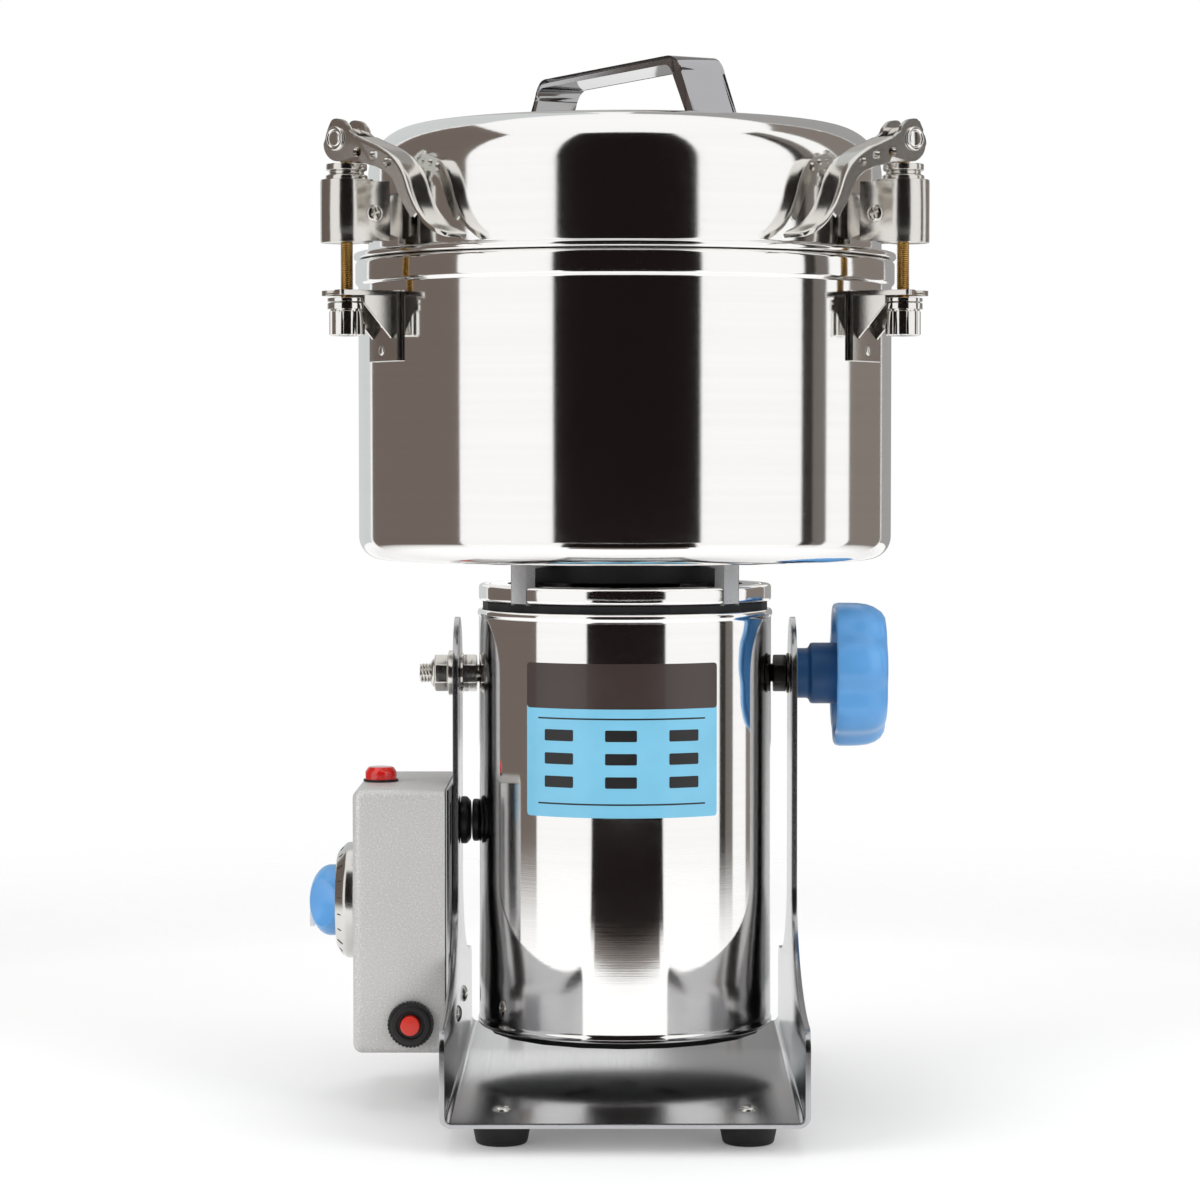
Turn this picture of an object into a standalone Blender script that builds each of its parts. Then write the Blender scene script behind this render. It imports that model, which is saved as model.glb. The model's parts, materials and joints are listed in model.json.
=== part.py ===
# Electric grain mill: a lidded bowl over a vertical motor, hung between the arms of a sheet steel stand.
# Metres, +Z up. X runs left to right, Y runs front to back. The mill's axis stands over the stand's plate.

import math

import bmesh
import bpy
from mathutils import Matrix, Vector

MM = 0.001

# Clearances shared by every piece
GAP = 0.3 * MM
OVERRUN = 2.0 * MM
MERGE = 0.002 * MM

# Stand
FOOT_HEIGHT = 10.0 * MM
FOOT_TOP_RADIUS = 11.5 * MM
FOOT_BOTTOM_RADIUS = 9.5 * MM
FOOT_EDGE = 1.2 * MM
FOOT_INDENT = 22.0 * MM
FOOT_INSET = 27.0 * MM
STAND_SHEET = 2.0 * MM
ARM_CLEARANCE = 7.6 * MM
STAND_FRONT = 132.0 * MM
STAND_BACK = 104.0 * MM
STAND_BEND = 4.5 * MM
ARM_HALF_WIDTH = 22.5 * MM
PIVOT_HEIGHT = 169.0 * MM
FLARE_BOTTOM = 46.0 * MM
FLARE_TOP = 86.0 * MM
FLARE_CORNER = 8.0 * MM
PIVOT_BORE_RADIUS = 4.5 * MM

# Control box
BOX_WIDTH = 36.2 * MM
BOX_BOTTOM = 22.5 * MM
BOX_TOP = 126.0 * MM
BOX_HALF_DEPTH = 42.0 * MM
BOX_WALL = 2.2 * MM
BOX_EDGE = 3.5 * MM
COVER_SHEET = 1.5 * MM
TIMER_HEIGHT = 77.8 * MM
BEZEL_RADIUS = 23.2 * MM
BEZEL_RIM_RADIUS = 19.0 * MM
BEZEL_THICKNESS = 8.6 * MM
TIMER_NECK_RADIUS = 6.0 * MM
TIMER_BODY_RADIUS = 18.0 * MM
TIMER_ROOM = 11.7 * MM
TIMER_SHAFT_RADIUS = 3.0 * MM
TIMER_SHAFT_LENGTH = 7.0 * MM
KNOB_RADIUS = 14.2 * MM
KNOB_DEPTH = 11.0 * MM
KNOB_GRIP_WIDTH = 5.5 * MM
KNOB_GRIP_DEPTH = 3.0 * MM
LAMP_INSET = 8.8 * MM
LAMP_Y = 5.0 * MM
LAMP_RADIUS = 6.3 * MM
LAMP_HEIGHT = 5.6 * MM
LAMP_NECK_RADIUS = 4.5 * MM
LAMP_NECK_LENGTH = 14.0 * MM
LAMP_EDGE = 1.6 * MM
BREAKER_HEIGHT = 34.5 * MM
BREAKER_COLLAR_RADIUS = 9.0 * MM
BREAKER_COLLAR_DEPTH = 4.0 * MM
BREAKER_NECK_RADIUS = 5.5 * MM
BREAKER_BODY_RADIUS = 8.0 * MM
BREAKER_BODY_DEPTH = 24.0 * MM
BREAKER_KNURLS = 12
BUTTON_RADIUS = 3.8 * MM
BUTTON_SHOWN = 3.0 * MM
BUTTON_TRAVEL = 2.0 * MM
BUTTON_LENGTH = 8.0 * MM
BUTTON_EDGE = 0.8 * MM
CORD_GLAND_RADIUS = 7.5 * MM
CORD_GLAND_LENGTH = 12.0 * MM
CORD_GLAND_NECK = 5.5 * MM
CORD_BORE_RADIUS = 3.4 * MM
CORD_GLAND_HEIGHT = 38.0 * MM
LEAD_HEIGHT = 110.0 * MM
ARM_GLAND_RADIUS = 9.5 * MM
ARM_GLAND_NECK = 7.0 * MM
ARM_GLAND_FLANGE = 4.0 * MM
SHELL_GLAND_RADIUS = 8.5 * MM
SHELL_GLAND_NECK = 6.0 * MM
LEAD_BORE_RADIUS = 3.0 * MM

# Motor
SHELL_RADIUS = 58.4 * MM
SHELL_WALL = 1.2 * MM
SHELL_CLEARANCE = 16.7 * MM
SHELL_RISE = 26.0 * MM
SHELL_ROLL = 1.0 * MM
BOTTOM_COVER_THICKNESS = 3.0 * MM
BOTTOM_COVER_DROP = 2.5 * MM
BEARING_HOUSING_MARGIN = 3.0 * MM
BEARING_RADIUS = 16.0 * MM
BEARING_HEIGHT = 10.0 * MM
BEARING_HOUSING_WALL = 2.5 * MM
SHAFT_RADIUS = 6.0 * MM
SHAFT_REACH = 47.0 * MM
VENT_SLOTS = 6
VENT_SLOT_WIDTH = 5.0 * MM
STATOR_RISE = 45.0 * MM
STATOR_CLEARANCE = 31.0 * MM
AIR_GAP = 1.5 * MM
COIL_CLEARANCE = 11.2 * MM
COIL_RISE = 11.0 * MM
COIL_STEP = 3.0 * MM
ARMATURE_RADIUS = 30.5 * MM
ARMATURE_SLOTS = 9
ARMATURE_SLOT_WIDTH = 3.0 * MM
ARMATURE_SLOT_DEPTH = 5.0 * MM
COMMUTATOR_RADIUS = 15.0 * MM
COMMUTATOR_RISE = 18.0 * MM
COMMUTATOR_LENGTH = 14.0 * MM
YOKE_THICKNESS = 4.0 * MM
YOKE_RISE = 21.0 * MM
BRUSH_WIDTH = 7.0 * MM
BRUSH_BOX_WIDTH = 12.0 * MM
YOKE_MARGIN = 9.0 * MM
FAN_CLEARANCE = 7.2 * MM
FAN_DROP = 13.0 * MM
FAN_HUB_RADIUS = 12.0 * MM
FAN_PLATE = 1.6 * MM
FAN_BLADE_HEIGHT = 10.0 * MM
FAN_BLADE_THICKNESS = 1.6 * MM
FAN_BLADES = 7
BRACKET_DROP = 11.0 * MM
BRACKET_RISE = 3.0 * MM
BRACKET_PLATE = 4.0 * MM
RING_HEIGHT = 6.7 * MM
RING_WIDTH = 11.4 * MM
RING_EDGE = 1.5 * MM
POSTS = 4
POST_TURN = math.radians(45.0)
POST_HALF_WIDTH = 4.2 * MM
POST_THICKNESS = 4.0 * MM
POST_FOOT_LENGTH = 9.0 * MM
HUB_PLATE_RADIUS = 41.0 * MM
HUB_PLATE_CLEARANCE = 1.0 * MM
HUB_NECK_RADIUS = 20.0 * MM
HUB_NECK_BORE = 12.0 * MM
COLLAR_ACROSS_FLATS = 13.0 * MM
BOLT_RADIUS = 4.0 * MM
BOLT_SHOWN = 14.0 * MM
NUT_FLANGE = 3.0 * MM
NUT_LENGTH = 7.0 * MM
NUT_FLANGE_RADIUS = 9.0 * MM
BOLT_HEAD_THICKNESS = 4.0 * MM

# Tilt lock knob
STUD_SHOWN = 25.0 * MM
LOCK_CLEARANCE = 0.4 * MM
LOCK_WASHER_RADIUS = 10.0 * MM
LOCK_WASHER_THICKNESS = 5.0 * MM
LOCK_HUB_RADIUS = 12.5 * MM
LOCK_HUB_LENGTH = 14.6 * MM
LOCK_KNOB_RADIUS = 29.2 * MM
LOCK_KNOB_OFFSET = 15.1 * MM
LOCK_KNOB_DEPTH = 20.5 * MM
LOCK_LOBES = 7
LOCK_LOBE_DEPTH = 2.2 * MM
LOCK_KNOB_WALL = 3.0 * MM

# Bowl
BOWL_RADIUS = 106.0 * MM
BOWL_WALL = 1.5 * MM
HUB_PLATE_HEIGHT = 8.7 * MM
BOWL_CORNER = 9.0 * MM
BOWL_HEIGHT = 118.0 * MM
COLLAR_HEIGHT = 9.0 * MM
COLLAR_STEP = 1.2 * MM
BOWL_BORE_RADIUS = 11.0 * MM
SEAL_RADIUS = 16.0 * MM
SEAL_HEIGHT = 5.0 * MM
CLIP_DROP = 14.0 * MM
CLIP_SHEET = 2.0 * MM
CLIP_LENGTH = 23.6 * MM
CLIP_HALF_WIDTH = 9.0 * MM
CLIP_SLOT_WIDTH = 7.0 * MM
CLIP_GUSSET_LENGTH = 11.0 * MM
CLIP_GUSSET_RISE = 8.5 * MM
CLIP_GUSSET_DEPTH = 3.0 * MM
CLIP_GUSSET_SHEET = 1.5 * MM
CLIP_WALL_HEIGHT = 27.0 * MM
CLIP_WALL_HALF_WIDTH = 12.0 * MM
CLIP_WALL_SHEET = 1.6 * MM

# Blades
BLADE_CLEARANCE = 16.5 * MM
BLADE_HALF_WIDTH = 11.0 * MM
BLADE_THICKNESS = 3.0 * MM
BLADE_HUB_RADIUS = 14.0 * MM
BLADE_HUB_HEIGHT = 12.0 * MM
LOWER_BLADE_RISE = 13.0 * MM
BLADE_TIP = 24.0 * MM
BLADE_TIP_RISE = 13.0 * MM
BLADE_TIP_HALF_WIDTH = 7.0 * MM
BLADE_NUT_ACROSS = 19.0 * MM
BLADE_NUT_HEIGHT = 8.0 * MM
BLADE_NUT_CAP = 3.0 * MM

# Lid
LID_FLANGE_OVERHANG = 0.6 * MM
LID_FLANGE = 2.6 * MM
LID_INSET = 4.0 * MM
LID_WALL = 1.5 * MM
LID_SHOULDER = 19.0 * MM
LID_HEIGHT = 52.5 * MM
LID_CROWN = 1.5 * MM
LID_SHOULDER_DEGREES = 84.0
GASKET_HEIGHT = 6.0 * MM
GASKET_WIDTH = 3.6 * MM
HANDLE_INSET = 13.0 * MM
HANDLE_RISE = 23.5 * MM
HANDLE_HALF_WIDTH = 9.5 * MM
HANDLE_STRAP = 3.6 * MM
HANDLE_CORNER = 11.0 * MM
HANDLE_LEAN = 9.0 * MM
HANDLE_TURN = math.radians(-61.0)
HANDLE_EDGE = 1.1 * MM

# Clamps, in a frame whose X runs outward along the bowl's radius from the pivot screw
SCREW_DISTANCE = 9.5 * MM
ROD_OFFSET = 7.0 * MM
SCREW_RISE = 15.0 * MM
SCREW_RADIUS = 2.0 * MM
SLEEVE_RADIUS = 10.0 * MM
SLEEVE_SHEET = 1.5 * MM
SLEEVE_RISE = 4.0 * MM
SLEEVE_LENGTH = 24.0 * MM
SLEEVE_CAP_RADIUS = 8.0 * MM
SLEEVE_CAP_HEIGHT = 6.0 * MM
SLEEVE_CAP_EDGE = 1.0 * MM
SLEEVE_LEG_REACH = 13.7 * MM
LUG_HALF_WIDTH = 6.0 * MM
LUG_HALF_HEIGHT = 3.8 * MM
LUG_ROOT_HALF_HEIGHT = 9.0 * MM
ROD_RADIUS = 2.5 * MM
ROD_LENGTH = 73.3 * MM
PIN_RISE = 9.3 * MM
PIN_RADIUS = 4.0 * MM
PIN_HALF_LENGTH = 6.3 * MM
EYE_RADIUS = 5.0 * MM
EYE_HALF_WIDTH = 4.0 * MM
CAM_REACH = 8.7 * MM
CAM_THROW = 3.5 * MM
CAM_TURN = math.radians(120.0)
LEVER_LENGTH = 56.0 * MM
LEVER_DROP = 38.5 * MM
LEVER_SHEET = 1.7 * MM
LEVER_HALF_WIDTH = 6.0 * MM
LEVER_TIP_HALF_WIDTH = 8.0 * MM
LEVER_INWARD = math.radians(21.0)
LEVER_HEAD_RADIUS = 7.6 * MM
LEVER_HOLE_RADIUS = 1.8 * MM
WASHER_RADIUS = 7.5 * MM
WASHER_THICKNESS = 1.5 * MM
NUT_CLEARANCE = 0.4 * MM
NUT_HANG = 0.9 * MM
THUMB_NUT_RADIUS = 6.8 * MM
THUMB_NUT_HEIGHT = 12.6 * MM
THUMB_NUT_FLUTES = 8
FLUTE_DEPTH = 0.9 * MM

# Where the breaker and the cord's gland sit, as a share of the box's width from its cover
BREAKER_SHARE = 0.37

# Heights and reaches that follow from the sizes above
PLATE_BOTTOM = FOOT_HEIGHT + GAP
STAND_HALF_WIDTH = SHELL_RADIUS + ARM_CLEARANCE + STAND_SHEET
FOOT_SPREAD = STAND_HALF_WIDTH - FOOT_INDENT
ARM_INNER = STAND_HALF_WIDTH - STAND_SHEET
COVER_OUTER = STAND_HALF_WIDTH + GAP
COVER_INNER = COVER_OUTER + COVER_SHEET
BOX_INNER = COVER_INNER + GAP
BOX_REACH = BOX_INNER + BOX_WIDTH
LAMP_X = BOX_REACH - LAMP_INSET
BREAKER_X = BOX_INNER + BOX_WIDTH * BREAKER_SHARE
TIMER_BODY_DEPTH = BOX_WIDTH - BOX_WALL - GAP - TIMER_ROOM
BEZEL_FACE = BOX_REACH + GAP + BEZEL_THICKNESS
TIMER_KNOB_FACE = BEZEL_FACE + GAP + KNOB_DEPTH
BOLT_REACH = STAND_HALF_WIDTH + BOLT_SHOWN
NUT_INNER = STAND_HALF_WIDTH + NUT_FLANGE
NUT_OUTER = NUT_INNER + NUT_LENGTH
STUD_REACH = STAND_HALF_WIDTH + STUD_SHOWN
LOCK_HUB_INNER = STAND_HALF_WIDTH + LOCK_CLEARANCE
LOCK_HUB_OUTER = LOCK_HUB_INNER + LOCK_HUB_LENGTH
LOCK_KNOB_BACK = LOCK_HUB_INNER + LOCK_KNOB_OFFSET
LOCK_KNOB_OUTER = LOCK_KNOB_BACK + LOCK_KNOB_DEPTH
SHELL_BOTTOM = PLATE_BOTTOM + STAND_SHEET + SHELL_CLEARANCE
SHELL_TOP = PIVOT_HEIGHT + SHELL_RISE
STATOR_BOTTOM = SHELL_BOTTOM + STATOR_RISE
STATOR_TOP = PIVOT_HEIGHT - STATOR_CLEARANCE
STATOR_BORE_RADIUS = ARMATURE_RADIUS + AIR_GAP
COIL_INNER_RADIUS = STATOR_BORE_RADIUS + COIL_STEP
COIL_RADIUS = SHELL_RADIUS - SHELL_WALL - COIL_CLEARANCE
COMMUTATOR_BOTTOM = SHELL_BOTTOM + COMMUTATOR_RISE
COMMUTATOR_TOP = COMMUTATOR_BOTTOM + COMMUTATOR_LENGTH
YOKE_HEIGHT = SHELL_BOTTOM + YOKE_RISE
YOKE_BORE_RADIUS = COMMUTATOR_RADIUS + YOKE_MARGIN
BEARING_HOUSING_RADIUS = BEARING_RADIUS + BEARING_HOUSING_MARGIN
FAN_RADIUS = SHELL_RADIUS - SHELL_WALL - FAN_CLEARANCE
FAN_BOTTOM = PIVOT_HEIGHT - FAN_DROP
BRACKET_BOTTOM = SHELL_TOP - BRACKET_DROP
BRACKET_RIM = SHELL_TOP + BRACKET_RISE
RING_BOTTOM = BRACKET_RIM + GAP
RING_TOP = RING_BOTTOM + RING_HEIGHT
RING_INNER_RADIUS = SHELL_RADIUS - RING_WIDTH
HUB_PLATE_BOTTOM = RING_TOP + HUB_PLATE_CLEARANCE
HUB_PLATE_TOP = HUB_PLATE_BOTTOM + HUB_PLATE_HEIGHT
BOWL_BOTTOM = HUB_PLATE_TOP + GAP
BOWL_TOP = BOWL_BOTTOM + BOWL_HEIGHT
COLLAR_BOTTOM = BOWL_TOP - COLLAR_HEIGHT
SHAFT_TOP = BOWL_BOTTOM + SHAFT_REACH
LOWER_BLADE_HEIGHT = BOWL_BOTTOM + LOWER_BLADE_RISE
CLIP_TOP = BOWL_TOP - CLIP_DROP
CLIP_WALL_BOTTOM = CLIP_TOP - CLIP_WALL_HEIGHT
LID_TOP = BOWL_TOP + LID_HEIGHT
SCREW_HEIGHT = BOWL_TOP + SCREW_RISE
SLEEVE_BOTTOM = BOWL_TOP + SLEEVE_RISE
SLEEVE_TOP = SLEEVE_BOTTOM + SLEEVE_LENGTH
SLEEVE_CAP_TOP = SLEEVE_TOP + SLEEVE_CAP_HEIGHT
PIN_HEIGHT = SLEEVE_CAP_TOP + PIN_RISE
ROD_BOTTOM = PIN_HEIGHT - ROD_LENGTH
LOWER_BEARING_BOTTOM = SHELL_BOTTOM + BOTTOM_COVER_THICKNESS
BLADE_LENGTH = BOWL_RADIUS - BOWL_WALL - BLADE_CLEARANCE
LID_FLANGE_RADIUS = BOWL_RADIUS + COLLAR_STEP + LID_FLANGE_OVERHANG
LID_RADIUS = BOWL_RADIUS - LID_INSET
HANDLE_LENGTH = 2 * (LID_RADIUS - LID_SHOULDER - HANDLE_INSET)
SCREW_CIRCLE = BOWL_RADIUS + SCREW_DISTANCE
ROD_CIRCLE = SCREW_CIRCLE + ROD_OFFSET
CLIP_REACH = BOWL_RADIUS + CLIP_LENGTH
CLIP_SLOT_INNER = ROD_CIRCLE - CLIP_SLOT_WIDTH / 2
CLIP_GUSSET_REACH = BOWL_RADIUS + GAP + CLIP_WALL_SHEET + CLIP_GUSSET_LENGTH
CLIP_TURN = math.radians(30.0)
CLIP_REACH_RIGHT = CLIP_REACH * math.cos(CLIP_TURN) + CLIP_HALF_WIDTH * math.sin(CLIP_TURN)
CENTRE_X = (TIMER_KNOB_FACE - CLIP_REACH_RIGHT) / 2
CENTRE_Y = (STAND_FRONT - ROD_CIRCLE - SLEEVE_RADIUS) / 2
BLADE_STACK_TOP = LOWER_BLADE_HEIGHT + 2 * BLADE_HUB_HEIGHT + GAP

# Shares of the bezel's thickness where its slope starts, and of the knob's depth that is a straight belt
BEZEL_SLOPE_SHARE = 0.55
KNOB_BELT_SHARE = 0.25
# Share of the arm gland's flange that is straight, and of a blade's thickness that its edge bevel takes
GLAND_RIM_SHARE = 0.6
BLADE_EDGE_SHARE = 0.6
# Shares of the lock knob's radius and depth that draw its rounded cup, from the back to the outer face
LOCK_CUP_SHARES = (
    (0.955, 0.00),
    (1.000, 0.12),
    (1.000, 0.55),
    (0.950, 0.80),
    (0.840, 0.95),
    (0.660, 1.00),
)
# Where the thumb nut's ribs and grooves lie, as shares of the turn from one rib to the next
NUT_RIB_SHARES = (-0.22, 0.22)
NUT_GROOVE_SHARE = 0.5
# Shares of the lever's length and drop that draw the middle of its pressed web, from the pin to the tip
LEVER_WEB_SHARES = (
    (0.18, 0.00),
    (0.30, -0.07),
    (0.42, -0.14),
    (0.53, -0.24),
    (0.61, -0.38),
    (0.67, -0.58),
    (0.74, -0.75),
    (0.84, -0.89),
    (1.00, -1.00),
)
# Share of the lever's length at which its cheeks end
CHEEK_END_SHARE = 0.75
# Shares of the lever's length and drop for the middles of its three lightening holes
HOLE_SHARES = ((0.20, -0.145), (0.35, -0.19), (0.475, -0.265))
# Shares of the cam's reach by which the cheek hangs below the web at the heel and at its end
CHEEK_DEPTH_SHARES = (0.92, 0.40)
# Directions, from along the lever, between which each cheek's head rounds the pin
HEAD_DEGREES = (20.0, 100.0)
# Clamp places round the bowl: name, direction from the axis, and which way round its lever points
CLAMPS = (
    ("left", math.radians(210.0), 1),
    ("right", math.radians(330.0), -1),
    ("back", math.radians(90.0), 1),
)

FINE_STEPS = 36
COARSE_STEPS = 20
SMALL_STEPS = 12
TINY_STEPS = 8
LOBE_STEPS = 6
SMOOTH_ANGLE = math.radians(35.0)


def clear_objects():
    """Removes whatever the file already holds."""
    for item in list(bpy.data.objects):
        bpy.data.objects.remove(item, do_unlink=True)


def finish(name, colour, roughness, metallic):
    """Makes one material with a Principled BSDF."""
    made = bpy.data.materials.new(name)
    made.use_nodes = True
    shader = made.node_tree.nodes["Principled BSDF"]
    shader.inputs["Base Color"].default_value = (*colour, 1.0)
    shader.inputs["Roughness"].default_value = roughness
    shader.inputs["Metallic"].default_value = metallic
    made.diffuse_color = (*colour, 1.0)
    return made


def frame_at(name, location, parent=None, turn=0.0):
    """Makes an empty that carries the pieces of one body."""
    empty = bpy.data.objects.new(name, None)
    bpy.context.scene.collection.objects.link(empty)
    empty.parent = parent
    empty.location = location
    empty.rotation_euler = (0.0, 0.0, turn)
    return empty


def piece(name, mesh_data, material, parent, location=(0.0, 0.0, 0.0), turn=0.0):
    """Places one piece by its mesh, its material and its parent frame."""
    if isinstance(mesh_data, bmesh.types.BMesh):
        mesh = bpy.data.meshes.new(name)
        bmesh.ops.recalc_face_normals(mesh_data, faces=mesh_data.faces)
        mesh_data.to_mesh(mesh)
        mesh_data.free()
        mesh.shade_smooth()
        mesh.set_sharp_from_angle(angle=SMOOTH_ANGLE)
        mesh.materials.append(material)
    else:
        mesh = mesh_data
    made = bpy.data.objects.new(name, mesh)
    bpy.context.scene.collection.objects.link(made)
    made.parent = parent
    made.location = location
    made.rotation_euler = (0.0, 0.0, turn)
    return made


def combine(target, shape, operation):
    """Cuts a shape from a piece, joins it on or keeps what both hold, and drops the helper."""
    helper_mesh = bpy.data.meshes.new("helper")
    bmesh.ops.recalc_face_normals(shape, faces=shape.faces)
    shape.to_mesh(helper_mesh)
    shape.free()
    helper = bpy.data.objects.new("helper", helper_mesh)
    target_mesh = bpy.data.meshes.new("target")
    bmesh.ops.recalc_face_normals(target, faces=target.faces)
    target.to_mesh(target_mesh)
    body = bpy.data.objects.new("body", target_mesh)
    for item in (helper, body):
        bpy.context.scene.collection.objects.link(item)
    modifier = body.modifiers.new("combine", "BOOLEAN")
    modifier.object = helper
    modifier.operation = operation
    modifier.solver = "EXACT"
    graph = bpy.context.evaluated_depsgraph_get()
    graph.update()
    result = body.evaluated_get(graph).to_mesh()
    target.clear()
    target.from_mesh(result)
    body.evaluated_get(graph).to_mesh_clear()
    bpy.data.objects.remove(body, do_unlink=True)
    bpy.data.objects.remove(helper, do_unlink=True)
    bmesh.ops.remove_doubles(target, verts=target.verts, dist=MERGE)
    bmesh.ops.dissolve_degenerate(target, edges=target.edges, dist=MERGE)
    return target


def cut(target, shape):
    """Cuts a shape from a piece."""
    return combine(target, shape, "DIFFERENCE")


def join(target, shape):
    """Joins a shape to a piece."""
    return combine(target, shape, "UNION")


def moved(shape, offset=(0.0, 0.0, 0.0), axis="Z", turn=0.0):
    """Lays a shape's Z axis along the named axis, turns it about Z and moves it."""
    lay = {
        "Z": Matrix.Identity(4),
        "X": Matrix.Rotation(math.radians(90.0), 4, "Y"),
        "Y": Matrix.Rotation(math.radians(-90.0), 4, "X"),
    }[axis]
    shape.transform(Matrix.Translation(Vector(offset)) @ Matrix.Rotation(turn, 4, "Z") @ lay)
    return shape


def revolve(profile, steps, closed=False):
    """Spins a profile of (radius, height) points round Z. A closed profile gives a ring."""
    shape = bmesh.new()
    points = [shape.verts.new((radius, 0.0, height)) for radius, height in profile]
    edges = [shape.edges.new(pair) for pair in zip(points, points[1:])]
    if closed:
        edges.append(shape.edges.new((points[-1], points[0])))
    bmesh.ops.spin(
        shape,
        geom=points + edges,
        cent=(0.0, 0.0, 0.0),
        axis=(0.0, 0.0, 1.0),
        angle=math.tau,
        steps=steps,
        use_merge=True,
    )
    bmesh.ops.remove_doubles(shape, verts=shape.verts, dist=MERGE)
    bmesh.ops.recalc_face_normals(shape, faces=shape.faces)
    return shape


def drum(radius, bottom, top, steps=COARSE_STEPS, edge=0.0):
    """A solid cylinder, with its top edge bevelled when an edge is given."""
    profile = [(0.0, bottom), (radius, bottom), (radius, top - edge)]
    if edge > 0.0:
        profile.append((radius - edge, top))
    else:
        profile[-1] = (radius, top)
    profile.append((0.0, top))
    return revolve(profile, steps)


def ring(inner, outer, bottom, top, steps=COARSE_STEPS):
    """A flat ring."""
    return revolve([(inner, bottom), (outer, bottom), (outer, top), (inner, top)], steps, closed=True)


def prism(outline, bottom, top):
    """Raises an outline of (x, y) points from one height to another."""
    shape = bmesh.new()
    face = shape.faces.new([shape.verts.new((x, y, bottom)) for x, y in outline])
    raised = bmesh.ops.extrude_face_region(shape, geom=[face])
    tops = [item for item in raised["geom"] if isinstance(item, bmesh.types.BMVert)]
    bmesh.ops.translate(shape, verts=tops, vec=(0.0, 0.0, top - bottom))
    bmesh.ops.recalc_face_normals(shape, faces=shape.faces)
    return shape


def upright(outline, near, far):
    """Sweeps an outline of (x, z) points along Y from near to far."""
    shape = prism(outline, -far, -near)
    shape.transform(Matrix.Rotation(math.radians(90.0), 4, "X"))
    return shape


def block(low, high):
    """A box between two corners."""
    outline = [(low[0], low[1]), (high[0], low[1]), (high[0], high[1]), (low[0], high[1])]
    return prism(outline, low[2], high[2])


def around(shape, count, first=0.0):
    """Repeats a shape evenly round Z, as one set of bodies that don't meet."""
    geometry = shape.verts[:] + shape.edges[:] + shape.faces[:]
    for copy in range(1, count):
        made = bmesh.ops.duplicate(shape, geom=geometry)
        points = [item for item in made["geom"] if isinstance(item, bmesh.types.BMVert)]
        step = Matrix.Rotation(math.tau * copy / count, 3, "Z")
        bmesh.ops.rotate(shape, verts=points, cent=(0.0, 0.0, 0.0), matrix=step)
    return moved(shape, turn=first)


def bevelled(shape, width, keep=None, segments=2):
    """Rounds the edges of a shape, all of them or those that a test keeps."""
    edges = [edge for edge in shape.edges if edge.calc_face_angle(0.0) > SMOOTH_ANGLE]
    if keep:
        edges = [edge for edge in edges if keep(edge)]
    bmesh.ops.bevel(shape, geom=edges, offset=width, segments=segments, profile=0.5, affect="EDGES")
    return shape


def arc(centre, radius, start, end, steps, squash=1.0):
    """Points along an arc, with both ends, in degrees, its second half-axis squashed when asked."""
    turns = [math.radians(start + (end - start) * step / steps) for step in range(steps + 1)]
    return [(centre[0] + radius * math.cos(t), centre[1] + squash * radius * math.sin(t)) for t in turns]


def hexagon(across):
    """The corners of a hexagon by its width across flats."""
    return arc((0.0, 0.0), across / math.sqrt(3.0), 0.0, 300.0, 5)


def arm_side_outline():
    """The arms' outline from the side: a broad foot that sweeps up into a narrow upright."""
    front, back = -STAND_FRONT, STAND_BACK
    floor = PLATE_BOTTOM - OVERRUN
    rise = FLARE_TOP - FLARE_BOTTOM
    points = [(back, floor)]
    points += arc((back - FLARE_CORNER, FLARE_BOTTOM - FLARE_CORNER), FLARE_CORNER, 0.0, 90.0, 4)
    sweep = back - FLARE_CORNER - ARM_HALF_WIDTH
    points += arc((back - FLARE_CORNER, FLARE_TOP), sweep, 270.0, 180.0, 10, rise / sweep)[1:]
    points += arc((0.0, PIVOT_HEIGHT), ARM_HALF_WIDTH, 0.0, 180.0, 16)
    sweep = -front - FLARE_CORNER - ARM_HALF_WIDTH
    points += arc((front + FLARE_CORNER, FLARE_TOP), sweep, 0.0, -90.0, 10, rise / sweep)[:-1]
    points += arc((front + FLARE_CORNER, FLARE_BOTTOM - FLARE_CORNER), FLARE_CORNER, 90.0, 180.0, 4)
    points.append((front, floor))
    return points


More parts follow.
